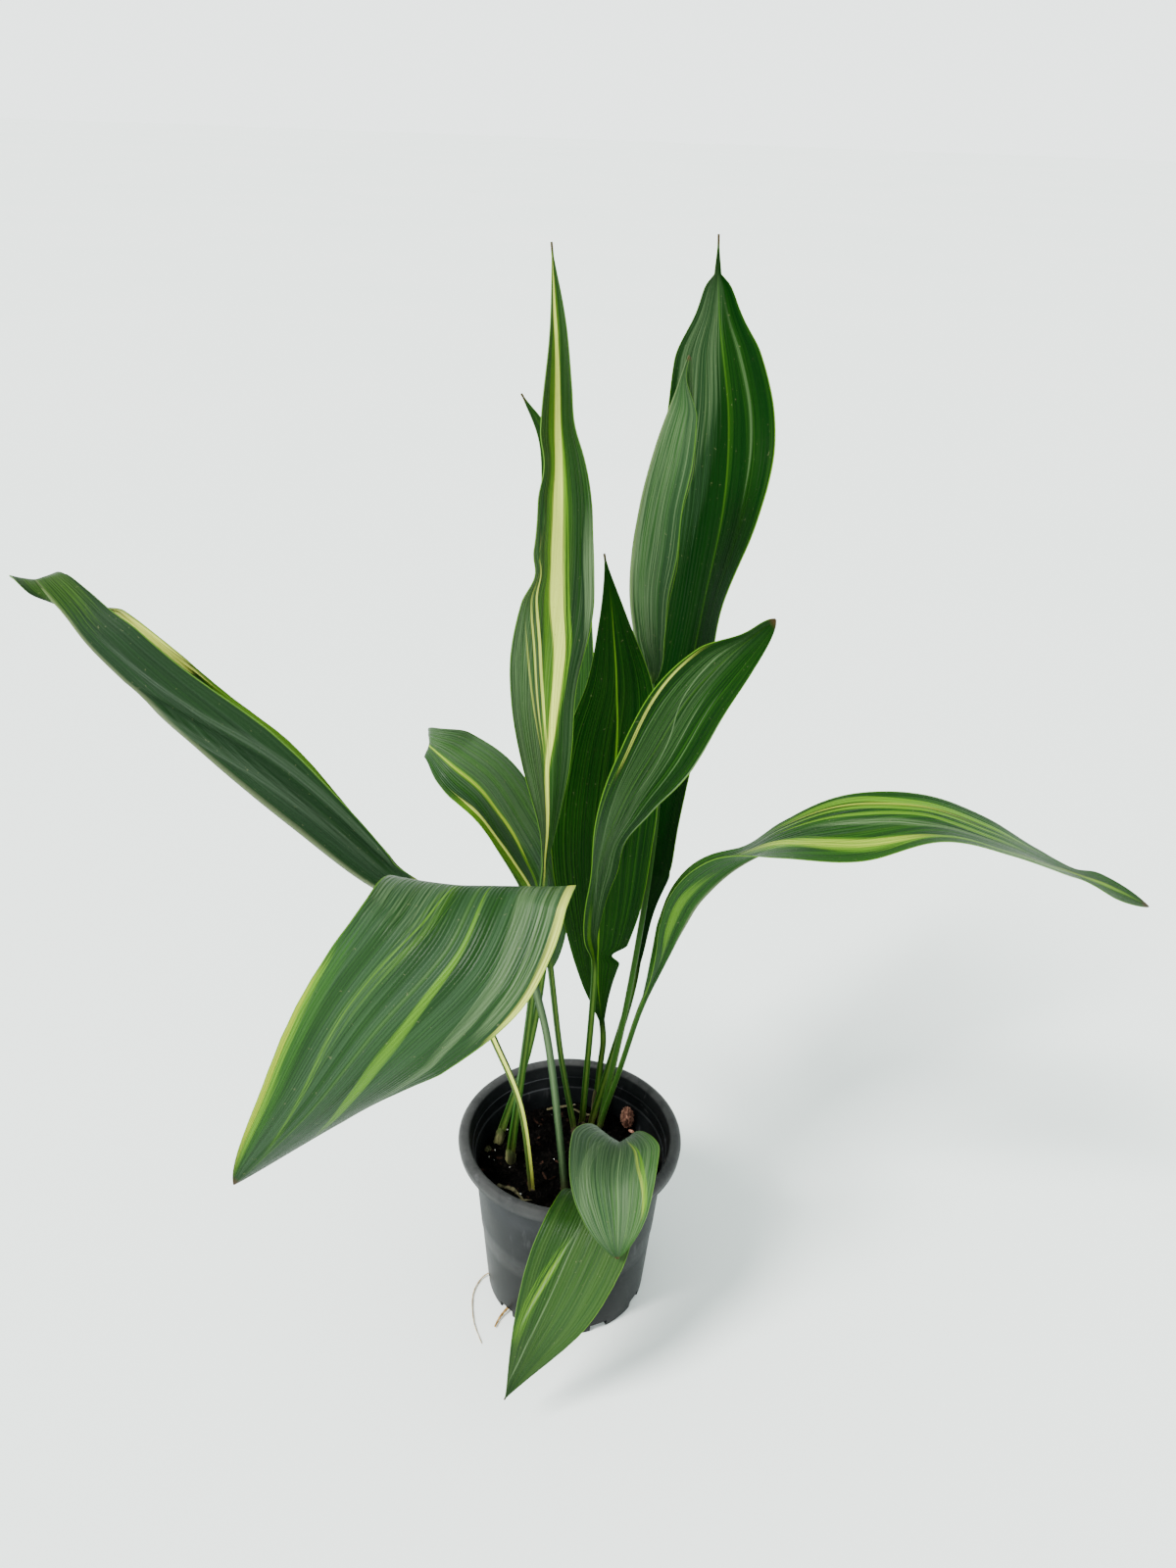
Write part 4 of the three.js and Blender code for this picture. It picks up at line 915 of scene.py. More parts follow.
def floatCurve(tree, value, points, low, high):
    made = addNode(tree, "ShaderNodeFloatCurve", {1: value})
    curve = made.mapping.curves[0]
    while len(curve.points) < len(points):
        curve.points.new(0.5, 0.5)
    for point, (x, y) in zip(curve.points, points):
        point.location = (x, (y - low) / (high - low))
    made.mapping.extend = "HORIZONTAL"
    made.mapping.update()
    return plus(tree, times(tree, made.outputs[0], high - low), low)


def makeLeafMaterial(name, look, seed):
    plan = leafFinish
    material, tree, spot = newMaterial(name + "_finish")
    uv = addNode(tree, "ShaderNodeUVMap", uv_map="leafMap").outputs[0]
    across, v = partsOf(tree, uv)[:2]
    across = timesPlus(tree, across, 2.0, -1.0)
    fromMiddle = calc(tree, "ABSOLUTE", across)
    height = partsOf(tree, spot)[2]
    under = addNode(tree, "ShaderNodeAttribute", attribute_name="underside").outputs["Fac"]
    veins = useGroup(tree, veinGroup, {
        "Across": across, "Along": v, "Seed": seed * plan["seedStep"], "Ribs": look["ribs"]})
    patches = ease(tree, grain(tree, spot, plan["patchScale"], 3.0), *plan["patchBand"])
    colour = layered(
        tree, greens, greens[look["dark"]],
        (times(tree, veins["Broad"], plan["broadShare"]), look["light"]),
        (times(tree, patches, look["mottle"]), "fresh"),
        (times(tree, veins["Fine"], look["streaks"]), look["streakColour"]),
        (times(tree, veins["Groove"], plan["grooveShare"]), "deep"))
    for count, (tone, strength, feather, *points) in enumerate(look["stripes"]):
        mask = useGroup(tree, stripeGroup, {
            "Across": across, "Along": v, "Start": points[0][0], "End": points[-1][0],
            "Centre": floatCurve(tree, v, [(p[0], p[1]) for p in points], -1.0, 1.0),
            "Half Width": floatCurve(tree, v, [(p[0], p[2]) for p in points], 0.0, 1.0),
            "Feather": feather, "Seed": seed + plan["stripeSeedStep"] * count})["Mask"]
        colour = layered(tree, greens, colour, (times(tree, mask, strength), tone))
    colour = layered(
        tree, greens, colour,
        (ease(tree, fromMiddle, *plan["marginBand"], 0.0, look["margin"]), "lime"),
        (ease(tree, fromMiddle, *plan["ribBand"], look["rib"], 0.0), "lime"))
    # underside: paler and greyer, with the midrib pale
    dull = layered(
        tree, greens, colour, (look["dull"], look["dullTone"]),
        (ease(tree, fromMiddle, *plan["underRibBand"], look["underRib"], 0.0), "ivory"))
    colour = blendColour(tree, times(tree, under, look["under"]), colour, dull)
    # dry tip
    tip = plus(tree, v, times(tree, patches, plan["tipWander"]))
    tip = times(tree, ease(tree, tip, *plan["tipBand"]), plan["tipShare"])
    colour = layered(tree, greens, colour, (tip, "dry"))
    # stalk, with a painted highlight down its middle, olive and brown where it leaves the soil
    often, slow = plan["stalkRates"]
    cloudAt = asVector(tree, times(tree, across, often), times(tree, v, slow), seed)
    cloudy = times(tree, grain(tree, cloudAt, 1.5, 2.0), look["stemMottle"])
    # a painted highlight down the middle of the round stalk
    stalkHighlight = ease(tree, fromMiddle, *plan["stalkHighlightBand"], plan["stalkHighlightShare"], 0.0)
    stalk = layered(tree, greens, greens[look["stem"]], (cloudy, "fresh"),
                    (stalkHighlight, look["stemHighlight"]))
    if look["stemSide"]:
        sideShare = ease(tree, across, *plan["sideBand"], 0.0, plan["sideShare"])
        stalk = layered(tree, greens, stalk, (sideShare, look["stemSide"]))
    olive = ease(tree, height, *plan["oliveBand"], plan["oliveShare"], 0.0)
    brown = times(tree, ease(tree, height, *plan["brownBand"], plan["brownShare"], 0.0),
                  ease(tree, patches, 0.1, 0.7, 0.4, 1.0))
    stalk = layered(tree, greens, stalk, (olive, "olive"), (brown, "dry"))
    colour = blendColour(tree, ease(tree, v, *plan["stalkBand"], 1.0, 0.0), colour, stalk)
    specks = grain(tree, spot, plan["speckScale"], 2.0)
    speckShare = ease(tree, specks, *plan["speckBand"], 0.0, plan["speckShare"])
    colour = layered(tree, greens, colour, (speckShare, "speck"))
    relief = plus(tree, veins["Height"], times(tree, specks, plan["speckHeight"]))
    rough = timesPlus(tree, veins["Broad"], plan["broadRough"], plan["rough"])
    rough = timesPlus(tree, under, plan["underRough"], rough)
    finishMaterial(tree, colour, rough, look["gloss"], (relief, *plan["bump"]))
    return material


for number, (node, plan) in enumerate(leafPlans.items()):
    finish = makeLeafMaterial(node, {**plainLook, **leafLooks[node]}, number + 1)
    dress(makeLeaf("visible_" + node, {**plainPlan, **plan}, number * 7.3, finish), "leaf", node)
print("leaves made:", len(leafPlans))

potPlan = {
    "height": 152.5, "rimRadius": 85, "lipWidth": 9, "lipDepth": 10, "lipRise": 5,
    "lipUndercut": 1.5, "neckRise": 2.5, "neckRadius": 73.5, "baseRadius": 62.7,
    "cornerRadius": 1.5, "wall": 1.5, "floor": 2, "innerStepHeight": 131, "innerStepWidth": 2.1,
    "bandHeight": 66, "bandStep": 0.5, "turns": 180, "slotCount": 10, "slotFirst": 8,
    "slotWidth": 14, "slotHeight": 7, "slotDepth": 5, "sharpFrom": 38,
}
# colours, and where dust and paler blotches lie: bands in metres over the floor, and how much lies
# there; the wall band leaves the wall darker towards the bottom
potFinish = {
    "plastic": rgb(0.0032, 0.0040, 0.0044), "dust": rgb(0.036, 0.038, 0.042),
    "paleLip": rgb(0.080, 0.080, 0.078), "run": rgb(0.085, 0.085, 0.09),
    "scuff": rgb(0.12, 0.12, 0.12),
    "wallBand": (0.05, 0.135, 0.05, 0.85), "lipBand": (0.1405, 0.147, 0.0, 0.42),
    "dustScale": 16.0, "runScale": 130.0, "runShare": 0.35, "scuffStretch": (60, 60, 700),
    "scuffShare": 0.4, "pebbleScale": 900.0, "bump": (0.25, 0.0004), "rough": 0.42,
    "dustRough": 0.35, "gloss": 0.09,
}


def wallRadius(z):
    neck = potPlan["height"] - potPlan["lipDepth"] - potPlan["neckRise"]
    slope = (potPlan["neckRadius"] - potPlan["bandStep"] - potPlan["baseRadius"]) / neck
    step = potPlan["bandStep"] if z > potPlan["bandHeight"] else 0
    return potPlan["baseRadius"] + slope * z + step


def innerRadius(z):
    return wallRadius(z) - potPlan["wall"]


def arc(centre, radiusX, radiusY, start, end, steps):
    angles = [math.radians(start + (end - start) * i / steps) for i in range(steps + 1)]
    return [(centre[0] + radiusX * math.cos(a), centre[1] + radiusY * math.sin(a)) for a in angles]


# the pot's outline as radius and height, from the middle of its foot round to its floor
def potProfile():
    p = potPlan
    lipBottom = p["height"] - p["lipDepth"]
    neck = lipBottom - p["neckRise"]
    lipCentre = (p["rimRadius"] - p["lipWidth"] / 2, p["height"] - p["lipRise"])
    corner, step = p["cornerRadius"], p["innerStepHeight"]
    heights = [*np.linspace(6, p["bandHeight"], 6), *np.linspace(p["bandHeight"] + 0.8, neck, 7)]
    return [
        (0.01, 0),
        *arc((p["baseRadius"] - corner, corner), corner, corner, -90, 0, 6),
        *[(wallRadius(z), z) for z in heights],
        (wallRadius(neck) + 3.5, neck + 0.9),
        (p["rimRadius"] - p["lipUndercut"] - 1, lipBottom - 0.3),
        (p["rimRadius"] - 0.6, lipBottom + 0.5),
        *arc(lipCentre, p["lipWidth"] / 2, p["lipRise"], 0, 180, 20),
        (p["rimRadius"] - p["lipWidth"] - p["lipUndercut"], lipBottom),
        (innerRadius(step) + p["innerStepWidth"], step + 0.4),
        (innerRadius(step) + 0.4, step - 0.5),
        (innerRadius(step - 2), step - 2),
        *[(innerRadius(z), z) for z in np.linspace(step - 10, 6, 8)],
        (innerRadius(p["floor"]) - 3, p["floor"]),
        (0.01, p["floor"]),
    ]


def ringOf(radius, z, turns):
    angles = [2 * math.pi * k / turns for k in range(turns)]
    return [(radius * math.cos(angle), radius * math.sin(angle), z) for angle in angles]


def makeDust():
    tree, given, result = newGroup(
        "settledDust", {"Place": "Vector", "Base Colour": "Color", "Dust Colour": "Color",
                        **floats("Amount", "Scale")}, {"Colour": "Color", "Mask": "Float"})
    cloud = grain(tree, given["Place"], given["Scale"], 6.0, 0.65)
    mask = times(tree, ease(tree, cloud, 0.35, 0.75), given["Amount"])
    colour = blendColour(tree, mask, given["Base Colour"], given["Dust Colour"])
    giveOut(tree, result, {"Colour": colour, "Mask": mask})
    return tree


dustGroup = makeDust()


def makePotMaterial(plan):
    material, tree, spot = newMaterial("dustyBlackPlastic")
    x, y, height = partsOf(tree, spot)
    normal = addNode(tree, "ShaderNodeNewGeometry").outputs["Normal"]
    facing = addNode(tree, "ShaderNodeVectorMath", {0: normal, 1: spot}, operation="DOT_PRODUCT")
    facing = facing.outputs["Value"]
    # the wall is darker towards the bottom, where less of the dust colour is laid
    amount = times(tree, ease(tree, height, *plan["wallBand"]),
                   ease(tree, grain(tree, spot, 30.0, 3.0), 0.35, 0.6, 0.45, 1.0),
                   ease(tree, facing, -0.03, 0.03, 0.35, 1.0))
    dust = useGroup(tree, dustGroup, {
        "Place": spot, "Base Colour": plan["plastic"], "Dust Colour": plan["dust"],
        "Amount": amount, "Scale": plan["dustScale"]})
    # the lip's top and outer face are painted paler, in blotches
    lipShare = times(tree, ease(tree, height, *plan["lipBand"]),
                     ease(tree, facing, -0.03, 0.03, 0.1, 1.0),
                     ease(tree, grain(tree, spot, 45.0, 4.0, 0.7), 0.3, 0.6, 0.45, 1.0))
    runAt = asVector(tree, x, y, times(tree, height, 0.25))
    runs = ease(tree, grain(tree, runAt, plan["runScale"], 3.0), 0.60, 0.78, 0.0, plan["runShare"])
    scuffs = grain(tree, stretch(tree, spot, plan["scuffStretch"]), 1.0, 2.0)
    scuffs = ease(tree, scuffs, 0.72, 0.78, 0.0, plan["scuffShare"])
    colour = layered(tree, plan, dust["Colour"], (lipShare, "paleLip"), (runs, "run"),
                     (scuffs, "scuff"))
    rough = timesPlus(tree, dust["Mask"], plan["dustRough"], plan["rough"])
    pebble = grain(tree, spot, plan["pebbleScale"], 2.0)
    finishMaterial(tree, colour, rough, plan["gloss"], (pebble, *plan["bump"]))
    return material


# a turned body with its drainage slots cut through wall and foot
def makePot(plan):
    rings = [ringOf(radius, z, plan["turns"]) for radius, z in potProfile()]
    pot = makeRings("nurseryPot", rings, makePotMaterial(potFinish))
    boxes = bmesh.new()
    outward = Matrix.Translation((plan["baseRadius"] * mm, 0, 0))
    size = Matrix.Diagonal((plan["slotDepth"] * 2 * mm, plan["slotWidth"] * mm,
                            plan["slotHeight"] * 2 * mm, 1))
    for i in range(plan["slotCount"]):
        angle = math.radians(plan["slotFirst"] + 360 * i / plan["slotCount"])
        place = Matrix.Rotation(angle, 4, "Z") @ outward @ size
        bmesh.ops.create_cube(boxes, size=1, matrix=place)
    cutter = bmeshObject("slotCutters", boxes, smooth=False)
    cut = pot.modifiers.new("slots", "BOOLEAN")
    cut.object, cut.operation, cut.solver = cutter, "DIFFERENCE", "EXACT"
    settle(pot).set_sharp_from_angle(angle=math.radians(plan["sharpFrom"]))
    bpy.data.objects.remove(cutter)
    dress(pot, "pot", "pot")


makePot(potPlan)
print("pot made")

soilPlan = {
    "level": 114, "bumps": 2.2, "edgeDrop": 5, "gap": 0.4, "rings": 44, "turns": 120,
    "lumps": 1.6, "lumpSize": 6.0, "footInset": 5, "footHeight": 2.5,
}
soilFinish = {
    "colours": (rgb(0.0002, 0.0002, 0.0002), rgb(0.0014, 0.0010, 0.0008)),
    "fibre": rgb(0.022, 0.013, 0.008), "fibreShare": 0.35, "scales": (140.0, 480.0),
    "bump": (0.9, 0.003), "rough": 0.95, "gloss": 0.03,
}


def soilHeight(x, y):
    broad = math.sin(x * 0.11 + 1.3) * math.cos(y * 0.09 - 0.4)
    return soilPlan["level"] + soilPlan["bumps"] * (broad + 0.5 * math.sin(x * 0.23 - y * 0.19))


def lumpySoil(x, y):
    spot = Vector((x, y, 0)) / soilPlan["lumpSize"]
    lumps = noise.noise(spot) + 0.5 * noise.noise(spot * 2.3)
    return soilHeight(x, y) + soilPlan["lumps"] * lumps


def makeSoilMaterial(plan):
    material, tree, spot = newMaterial("pottingMix")
    coarse, fine = plan["scales"]
    lumps = grain(tree, spot, coarse, 5.0, 0.7)
    colour = blendColour(tree, ease(tree, lumps, 0.35, 0.7), *plan["colours"])
    fibres = ease(tree, grain(tree, spot, fine, 3.0, 0.7), 0.62, 0.72, 0.0, plan["fibreShare"])
    colour = layered(tree, plan, colour, (fibres, "fibre"))
    finishMaterial(tree, colour, plan["rough"], plan["gloss"], (lumps, *plan["bump"]))
    return material


# one closed body; its upper face is also the ground that the crumbs lie on
def makeSoil(plan, material):
    rings, turns = plan["rings"], plan["turns"]
    edge = innerRadius(plan["level"] - plan["edgeDrop"]) - plan["gap"]
    points = []
    for ring in range(rings):
        flat = ringOf(edge * (1 - ring / rings), 0, turns)
        points += [(x, y, lumpySoil(x, y)) for x, y, _ in flat]
    middle, lastRing = len(points), len(points) - turns
    points.append((0, 0, lumpySoil(0, 0)))
    upper = ringFaces(rings, turns)
    upper += [(lastRing + k, lastRing + (k + 1) % turns, middle) for k in range(turns)]
    ground = list(points), upper
    foot = len(points)
    points += ringOf(wallRadius(potPlan["floor"]) - plan["footInset"], plan["footHeight"], turns)
    sides = [(k, foot + k, foot + (k + 1) % turns, (k + 1) % turns) for k in range(turns)]
    base = tuple(foot + k for k in reversed(range(turns)))
    dress(meshObject("pottingSoil", points, upper + sides + [base], material), "soil", "soil")
    return ground


# scatters crumbs over a ground, turned at random and lumpy
def makeCrumbTree():
    tree, given, result = newGroup(
        "scatterCrumbs", {"Ground": "Geometry", **floats("Density", "Size"), "Smallest": "Vector",
                          "Largest": "Vector", "Lumps": "Float", "Seed": "Int",
                          "Finish": "Material"}, {"Crumbs": "Geometry"}, "GeometryNodeTree")

    def step(kind, sockets, port=0, **settings):
        return addNode(tree, kind, sockets, **settings).outputs[port]

    def between(low, high):
        sockets = {0: low, 1: high, "Seed": given["Seed"]}
        return step("FunctionNodeRandomValue", sockets, data_type="FLOAT_VECTOR")

    spread = step("GeometryNodeDistributePointsOnFaces", {
        "Mesh": given["Ground"], "Density": given["Density"], "Seed": given["Seed"]}, "Points")
    ball = step("GeometryNodeMeshIcoSphere", {"Radius": given["Size"], "Subdivisions": 2})
    placed = step("GeometryNodeInstanceOnPoints", {
        "Points": spread, "Instance": ball,
        "Rotation": between((-0.6, -0.6, 0.0), (0.6, 0.6, 6.283)),
        "Scale": between(given["Smallest"], given["Largest"])})
    real = step("GeometryNodeRealizeInstances", {0: placed})
    position = step("GeometryNodeInputPosition", {})
    rough = step("ShaderNodeTexNoise", {"Vector": position, "Scale": 420.0, "Detail": 1.0}, 1)
    centred = step("ShaderNodeVectorMath", {0: rough, 1: (0.5, 0.5, 0.5)}, operation="SUBTRACT")
    shift = step("ShaderNodeVectorMath", {0: centred, "Scale": given["Lumps"]}, operation="SCALE")
    lumpy = step("GeometryNodeSetPosition", {0: real, "Offset": shift})
    finished = step("GeometryNodeSetMaterial", {0: lumpy, "Material": given["Finish"]})
    giveOut(tree, result, {"Crumbs": finished})
    return tree


# each kind of crumb: how many to the square metre, its size and lumps in metres, its stretch
crumbKinds = {
    "soilCrumbs": {
        "density": 62000.0, "size": 0.0013, "lumps": 0.0016, "smallest": (0.5, 0.5, 0.4),
        "largest": (1.9, 1.5, 1.3), "seed": 3, "slot": "soil", "rough": 0.9,
        "colours": (rgb(0.0003, 0.0003, 0.0002), rgb(0.0028, 0.0020, 0.0015)),
    },
    "barkFlakes": {
        "density": 2800.0, "size": 0.0018, "lumps": 0.0014, "smallest": (0.6, 0.5, 0.25),
        "largest": (2.6, 1.2, 0.6), "seed": 11, "slot": "bark", "rough": 0.85,
        "colours": (rgb(0.002, 0.0012, 0.0008), rgb(0.030, 0.014, 0.009)),
    },
    "perliteSpecks": {
        "density": 2000.0, "size": 0.0008, "lumps": 0.0007, "smallest": (0.5, 0.5, 0.5),
        "largest": (1.5, 1.3, 1.2), "seed": 23, "slot": "soil", "rough": 0.8,
        "colours": (rgb(0.16, 0.155, 0.14), rgb(0.5, 0.49, 0.45)),
    },
}
crumbFinish = {"toneScale": 170.0, "skinScale": 1500.0, "bump": (0.6, 0.0006), "gloss": 0.05}


def makeCrumbMaterial(name, kind, plan):
    material, tree, spot = newMaterial(name + "_finish")
    tone = ease(tree, grain(tree, spot, plan["toneScale"], 2.0), 0.3, 0.7)
    skin = grain(tree, spot, plan["skinScale"], 3.0)
    colour = blendColour(tree, tone, *kind["colours"])
    finishMaterial(tree, colour, kind["rough"], plan["gloss"], (skin, *plan["bump"]))
    return material


def scatter(name, kind, tree, ground):
    crumbs = meshObject(name, *ground)
    modifier = crumbs.modifiers.new("crumbs", "NODES")
    modifier.node_group = tree
    values = {**kind, "finish": makeCrumbMaterial(name, kind, crumbFinish)}
    for item in tree.interface.items_tree:
        if item.name.lower() in values:
            modifier[item.identifier] = values[item.name.lower()]
    mesh = settle(crumbs)
    mesh.polygons.foreach_set("use_smooth", [True] * len(mesh.polygons))
    dress(crumbs, kind["slot"])
    print(name, "triangles:", len(mesh.polygons))


ground = makeSoil(soilPlan, makeSoilMaterial(soilFinish))
crumbTree = makeCrumbTree()
for crumbName, crumbKind in crumbKinds.items():
    scatter(crumbName, crumbKind, crumbTree, ground)
print("soil made")

# woody and papery stuff: its darkest and lightest tone, how fine its fibres are and how they are
# stretched, and the tone that it takes well over the soil
woodPlans = {
    "roughBark": (rgb(0.07, 0.026, 0.016), rgb(0.52, 0.26, 0.18), 230.0, (1, 1, 0.35), None),
    "dryRoot": (rgb(0.26, 0.17, 0.08), rgb(0.60, 0.50, 0.32), 300.0, (1, 1, 1), None),
    "freshRoot": (rgb(0.14, 0.065, 0.012), rgb(0.44, 0.28, 0.09), 260.0, (1, 1, 1), None),
    "greenSheath": (rgb(0.020, 0.022, 0.006), rgb(0.150, 0.150, 0.060), 300.0, (1, 1, 0.15),
                    rgb(0.026, 0.055, 0.008)),
    "brownSheath": (rgb(0.012, 0.009, 0.005), rgb(0.100, 0.078, 0.040), 300.0, (1, 1, 0.15),
                    rgb(0.040, 0.040, 0.014)),
    "dryStraw": (rgb(0.016, 0.013, 0.006), rgb(0.110, 0.100, 0.050), 320.0, (1, 1, 1), None),
    "paleBud": (rgb(0.040, 0.040, 0.014), rgb(0.150, 0.150, 0.070), 260.0, (1, 1, 0.3), None),
}
woodFinish = {
    "aboveBand": (0.121, 0.133, 0.0, 0.85), "footBand": (0.1135, 0.119, 0.75, 0.0),
    "bump": (0.8, 0.001), "rough": 0.82, "gloss": 0.2,
}


def makeWoodyMaterial(name, dark, light, scale, stretched, above):
    material, tree, spot = newMaterial(name)
    fibres = grain(tree, stretch(tree, spot, stretched), scale, 5.0, 0.65)
    colour = blendColour(tree, ease(tree, fibres, 0.35, 0.68), dark, light)
    if above:
        height = partsOf(tree, spot)[2]
        for band, tone in (("aboveBand", above), ("footBand", dark)):
            colour = blendColour(tree, ease(tree, height, *woodFinish[band]), colour, tone)
    finishMaterial(tree, colour, woodFinish["rough"], woodFinish["gloss"],
                   (fibres, *woodFinish["bump"]))
    return material


woods = {name: makeWoodyMaterial(name, *plan) for name, plan in woodPlans.items()}

# lumps of bark: sizes, places, tilts in radians and seeds of their lumps
barkPlans = {
    "barkPiece": {"size": (13, 9, 31), "place": (45.5, 45, 125), "tilt": (0.15, -0.2, 0.4),
                  "seed": 0, "node": ["bark_chunk"]},
}
for number, row in enumerate((
    ((7, 4, 3), (62, 20, 116.5), (0.2, 0.1, 0.7), 4),
    ((5, 3.5, 2.5), (64, 10, 116), (0.3, -0.2, 2.0), 9),
    ((6, 3, 2.5), (60, 31, 116.5), (-0.2, 0.3, 1.2), 15),
    ((5, 4, 3), (57, 14, 116.5), (0.1, 0.4, 0.2), 21),
    ((6, 3, 2.5), (49, 39, 116.5), (0.3, 0.1, 2.6), 27),
)):
    barkPlans["barkChip" + str(number + 1)] = dict(zip(("size", "place", "tilt", "seed"), row))
barkMake = {"fineness": 5, "lumps": 0.3, "lumpRate": 2.4, "fineLumps": 0.12, "fineRate": 7.0}


def makeBark(name, plan):
    make = barkMake
    lump = bmesh.new()
    bmesh.ops.create_icosphere(lump, subdivisions=make["fineness"], radius=1)
    for vert in lump.verts:
        spot = vert.co * make["lumpRate"] + Vector((plan["seed"], 0, 0))
        lumps = make["lumps"] * (abs(noise.noise(spot)) * 2 + 0.8 * abs(noise.noise(spot * 3)))
        vert.co *= 1 - lumps - make["fineLumps"] * abs(noise.noise(spot * make["fineRate"]))
    turn = Euler(plan["tilt"], "XYZ").to_matrix().to_4x4()
    size = Matrix.Diagonal([side / 2 * mm for side in plan["size"]] + [1])
    lump.transform(Matrix.Translation([value * mm for value in plan["place"]]) @ turn @ size)
    bark = bmeshObject(name, lump, woods[plan.get("wood", "roughBark")])
    dress(bark, plan.get("slot", "bark"), *plan.get("node", []))


for barkName, barkPlan in barkPlans.items():
    makeBark(barkName, barkPlan)

# roots as tubes through their points; taper and knots are shares of the radius
rootPlans = {
    "visible_root_thin": {
        "radius": 0.8, "taper": 0.55, "knots": 0.1, "sides": 12, "wood": "dryRoot",
        "node": ["root_thin"],
        "points": [(-51, -7, 3.8), (-60, -8.5, 3.6), (-68, -14, 1.6), (-73, -30, 1.3),
                   (-70, -54, 1.3), (-62, -74, 1.1)],
    },
    "visible_root_stub": {
        "radius": 1.7, "taper": 0.55, "knots": 0.1, "sides": 12, "wood": "freshRoot",
        "node": ["root_stub"],
        "points": [(-36, -35, 4.6), (-41, -40, 4.5), (-45, -44, 4), (-50, -51, 2.4),
                   (-53, -59, 1.8)],
    },
    "rootHair": {
        "radius": 0.35, "taper": 0, "knots": 0, "sides": 8, "wood": "dryRoot", "node": [],
        "points": [(66, 4, 118), (69, 14, 121), (66, 24, 119), (59, 33, 118)],
    },
}
rootMake = {"spanSteps": 12, "knotRate": 60}


def makeRoot(name, plan):
    path = curveThrough(plan["points"], rootMake["spanSteps"])
    rings = []
    for i, (centre, tangent) in enumerate(zip(path, unit(np.gradient(path, axis=0)))):
        first = unit(np.cross(tangent, (0.0, 0.0, 1.0)))
        second = np.cross(tangent, first)
        t = i / (len(path) - 1)
        swelling = 1 - plan["knots"] + plan["knots"] * math.sin(t * rootMake["knotRate"])
        radius = plan["radius"] * (1 - plan["taper"] * t) * swelling
        circle = ringOf(radius, 0, plan["sides"])
        rings.append([centre + first * x + second * y for x, y, _ in circle])
    dress(makeRings(name, rings, woods[plan["wood"]]), "root", *plan["node"])


for rootName, rootPlan in rootPlans.items():
    makeRoot(rootName, rootPlan)
print("bark and roots made")

# papery sheaths round the stalks' feet: which way each faces, how far it wraps, in degrees, and
# how tall it stands
sheathPlans = {
    "leaf_tall_left": {"height": 19, "facing": 250, "wrap": 290, "wood": "greenSheath"},
    "leaf_behind_left": {"height": 20, "facing": 240, "wrap": 280, "wood": "greenSheath"},
    "leaf_far_left": {"height": 9, "facing": 200, "wrap": 260, "wood": "brownSheath"},
    "leaf_front_left": {"height": 11, "facing": 260, "wrap": 240, "wood": "brownSheath"},
    "leaf_dark_middle": {"height": 34, "facing": 230, "wrap": 220, "wood": "brownSheath"},
    "leaf_small_left": {"height": 14, "facing": 290, "wrap": 240, "wood": "brownSheath"},
    "leaf_arching_right": {"height": 16, "facing": 300, "wrap": 230, "wood": "greenSheath"},
    "leaf_middle_right": {"height": 12, "facing": 270, "wrap": 240, "wood": "brownSheath"},
}
sheathMake = {
    "rows": 24, "columns": 20, "thickness": 0.35, "clearance": 0.3, "flare": 0.5, "bottom": 111.5,
    "narrowing": 0.85, "ragged": 2,
}


def makeSheath(name, leafPlan, plan, seed):
    make = sheathMake
    curve = leafCurve(leafPlan)
    outer = np.zeros((make["rows"], make["columns"], 3))
    inner = np.zeros_like(outer)
    for i, k in np.ndindex(*outer.shape[:2]):
        rise = i / (make["rows"] - 1)
        side = 2 * k / (make["columns"] - 1) - 1
        z = make["bottom"] + rise * plan["height"]
        centre = np.array([np.interp(z, curve[:, 2], curve[:, axis]) for axis in (0, 1)])
        growth = leafPlan["foot"] - leafPlan["stem"]
        stalk = leafPlan["stem"] * leafMake["stemShare"]
        stalk += growth * (1 - rise * plan["height"] / leafMake["footReach"])
        ragged = noise.noise(Vector((seed, 2.5 * side, 2 * rise)))
        wrap = 0.5 * plan["wrap"] * side * (1 - rise ** 2 * make["narrowing"])
        angle = math.radians(plan["facing"] + wrap)
        radius = stalk / 2 + make["clearance"] + make["flare"] * rise * (0.5 + ragged)
        for skin, reach in ((outer, radius + make["thickness"]), (inner, radius)):
            edge = centre + np.array([math.cos(angle), math.sin(angle)]) * reach
            skin[i, k] = [*edge, z + make["ragged"] * ragged * rise]
    dress(makeShell(name, outer, inner, woods[plan["wood"]]), "leaf")


for number, (node, sheathPlan) in enumerate(sheathPlans.items()):
    makeSheath("sheath_" + node, leafPlans[node], sheathPlan, number * 5.1)

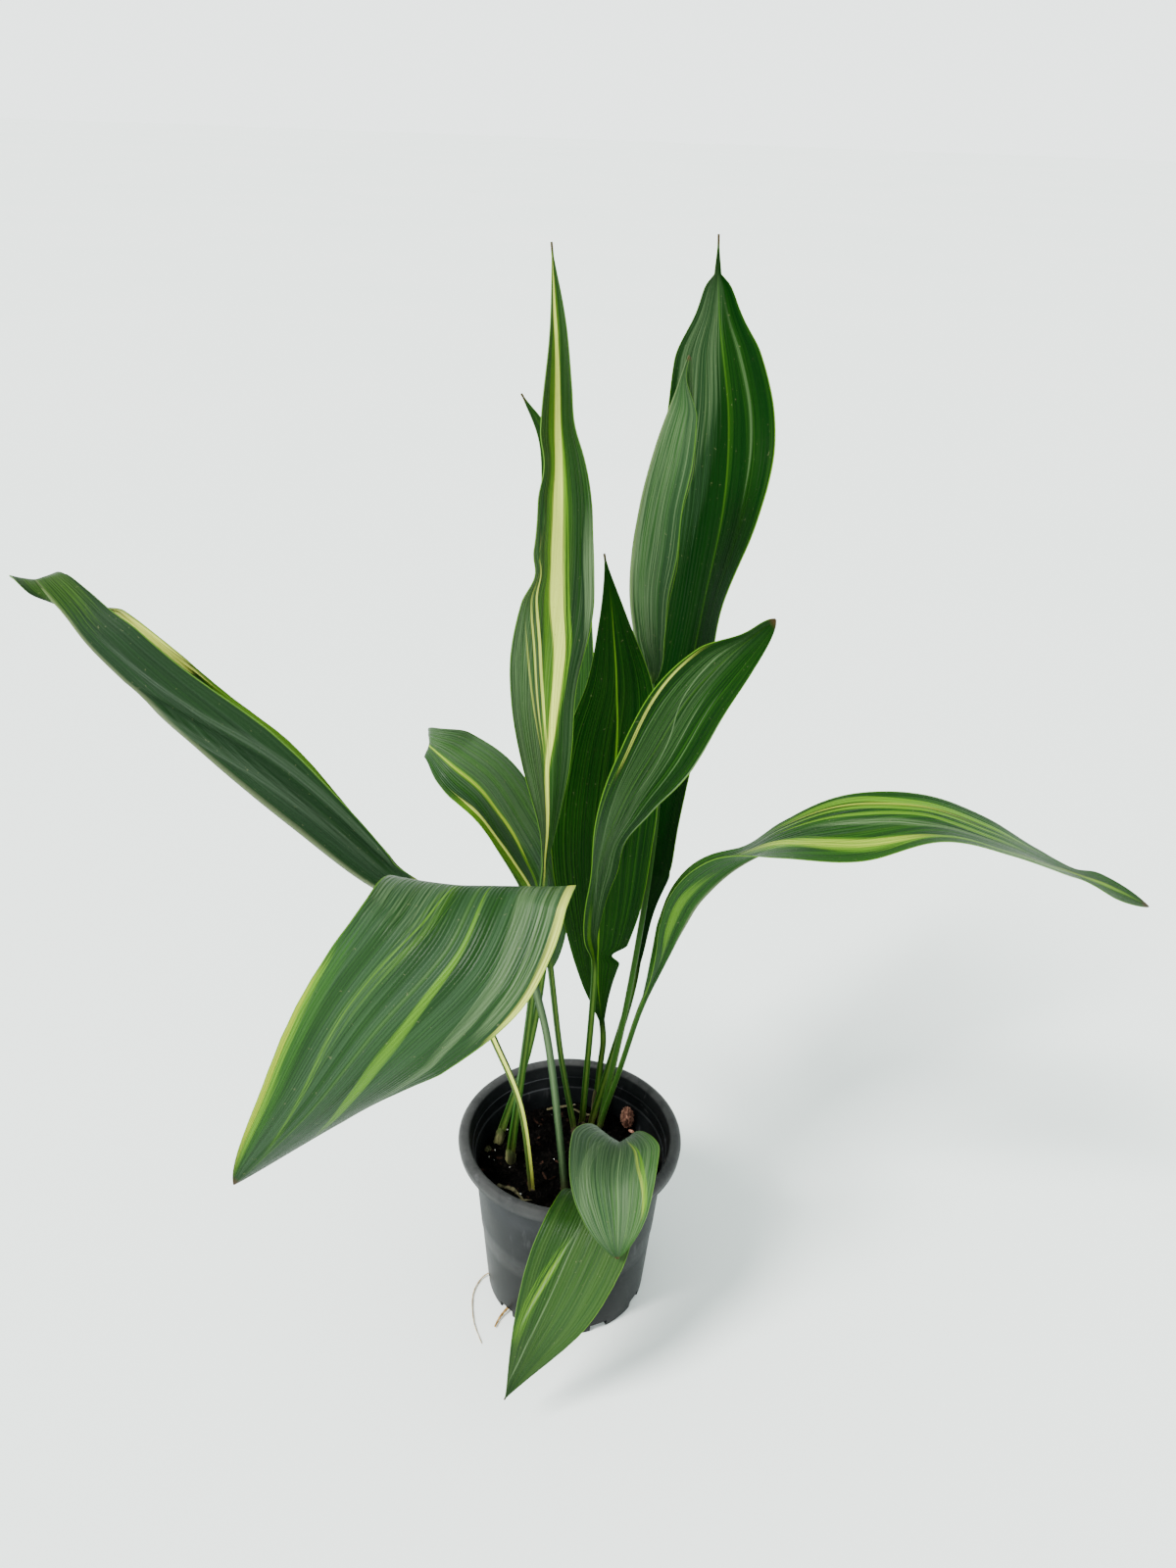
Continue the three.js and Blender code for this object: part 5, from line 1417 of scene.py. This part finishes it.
# straws that lie on the soil: ends, sideways bend, width and height over the soil
strawPlans = [
    {"ends": ((-54, -20), (-33, -37)), "bend": 2.0, "width": 3.2, "lift": 1.6},
    {"ends": ((-44, -33), (-26, -40)), "bend": -1.5, "width": 1.8, "lift": 2.4},
    {"ends": ((-20, 61), (4, 65)), "bend": 2.0, "width": 2.6, "lift": 1.8},
    {"ends": ((2, 60), (27, 59)), "bend": -2.5, "width": 2.2, "lift": 2.2},
    {"ends": ((30, -12), (44, -6)), "bend": 1.0, "width": 1.8, "lift": 1.6},
    {"ends": ((44, 26), (58, 36)), "bend": -1.5, "width": 1.6, "lift": 2.0},
]
strawMake = {
    "rows": 28, "columns": 5, "thickness": 0.3, "curl": 0.35, "waver": 0.5, "tornFrom": 0.82,
}


def strawWidth(t):
    if t < strawMake["tornFrom"]:
        return 0.25 + 0.75 * math.sin(math.pi * min(1, t * 1.1 + 0.1)) ** 0.5
    return 0.8 * (1.05 - t) / 0.23


def makeStraw(name, plan, seed):
    make = strawMake
    start, end = np.array(plan["ends"], float)
    ahead = unit(end - start)
    sideways = np.array([-ahead[1], ahead[0]])
    inner = np.zeros((make["rows"], make["columns"], 3))
    for i, k in np.ndindex(*inner.shape[:2]):
        t = i / (make["rows"] - 1)
        across = (k / (make["columns"] - 1) - 0.5) * plan["width"] * strawWidth(t)
        bend = plan["bend"] * math.sin(math.pi * t)
        x, y = start + (end - start) * t + sideways * (bend + across)
        curl = make["curl"] * (across / plan["width"] * 2) ** 2
        curl += make["waver"] * noise.noise(Vector((seed, t * 3, across)))
        inner[i, k] = [x, y, soilHeight(x, y) + plan["lift"] + curl]
    outer = inner + (0, 0, make["thickness"])
    dress(makeShell(name, outer, inner, woods["dryStraw"]), "leaf")


for number, strawPlan in enumerate(strawPlans):
    makeStraw("straw_" + str(number), strawPlan, number * 3.7)

# a pale young bud that stands by the left wall
budPlan = {
    "size": (6.5, 6.5, 13), "place": (-64.5, 13.5, 114.5), "tilt": (0.15, 0.25, 0), "seed": 33,
    "slot": "leaf", "wood": "paleBud",
}
makeBark("youngBud", budPlan)
print("sheaths, straws and bud made")
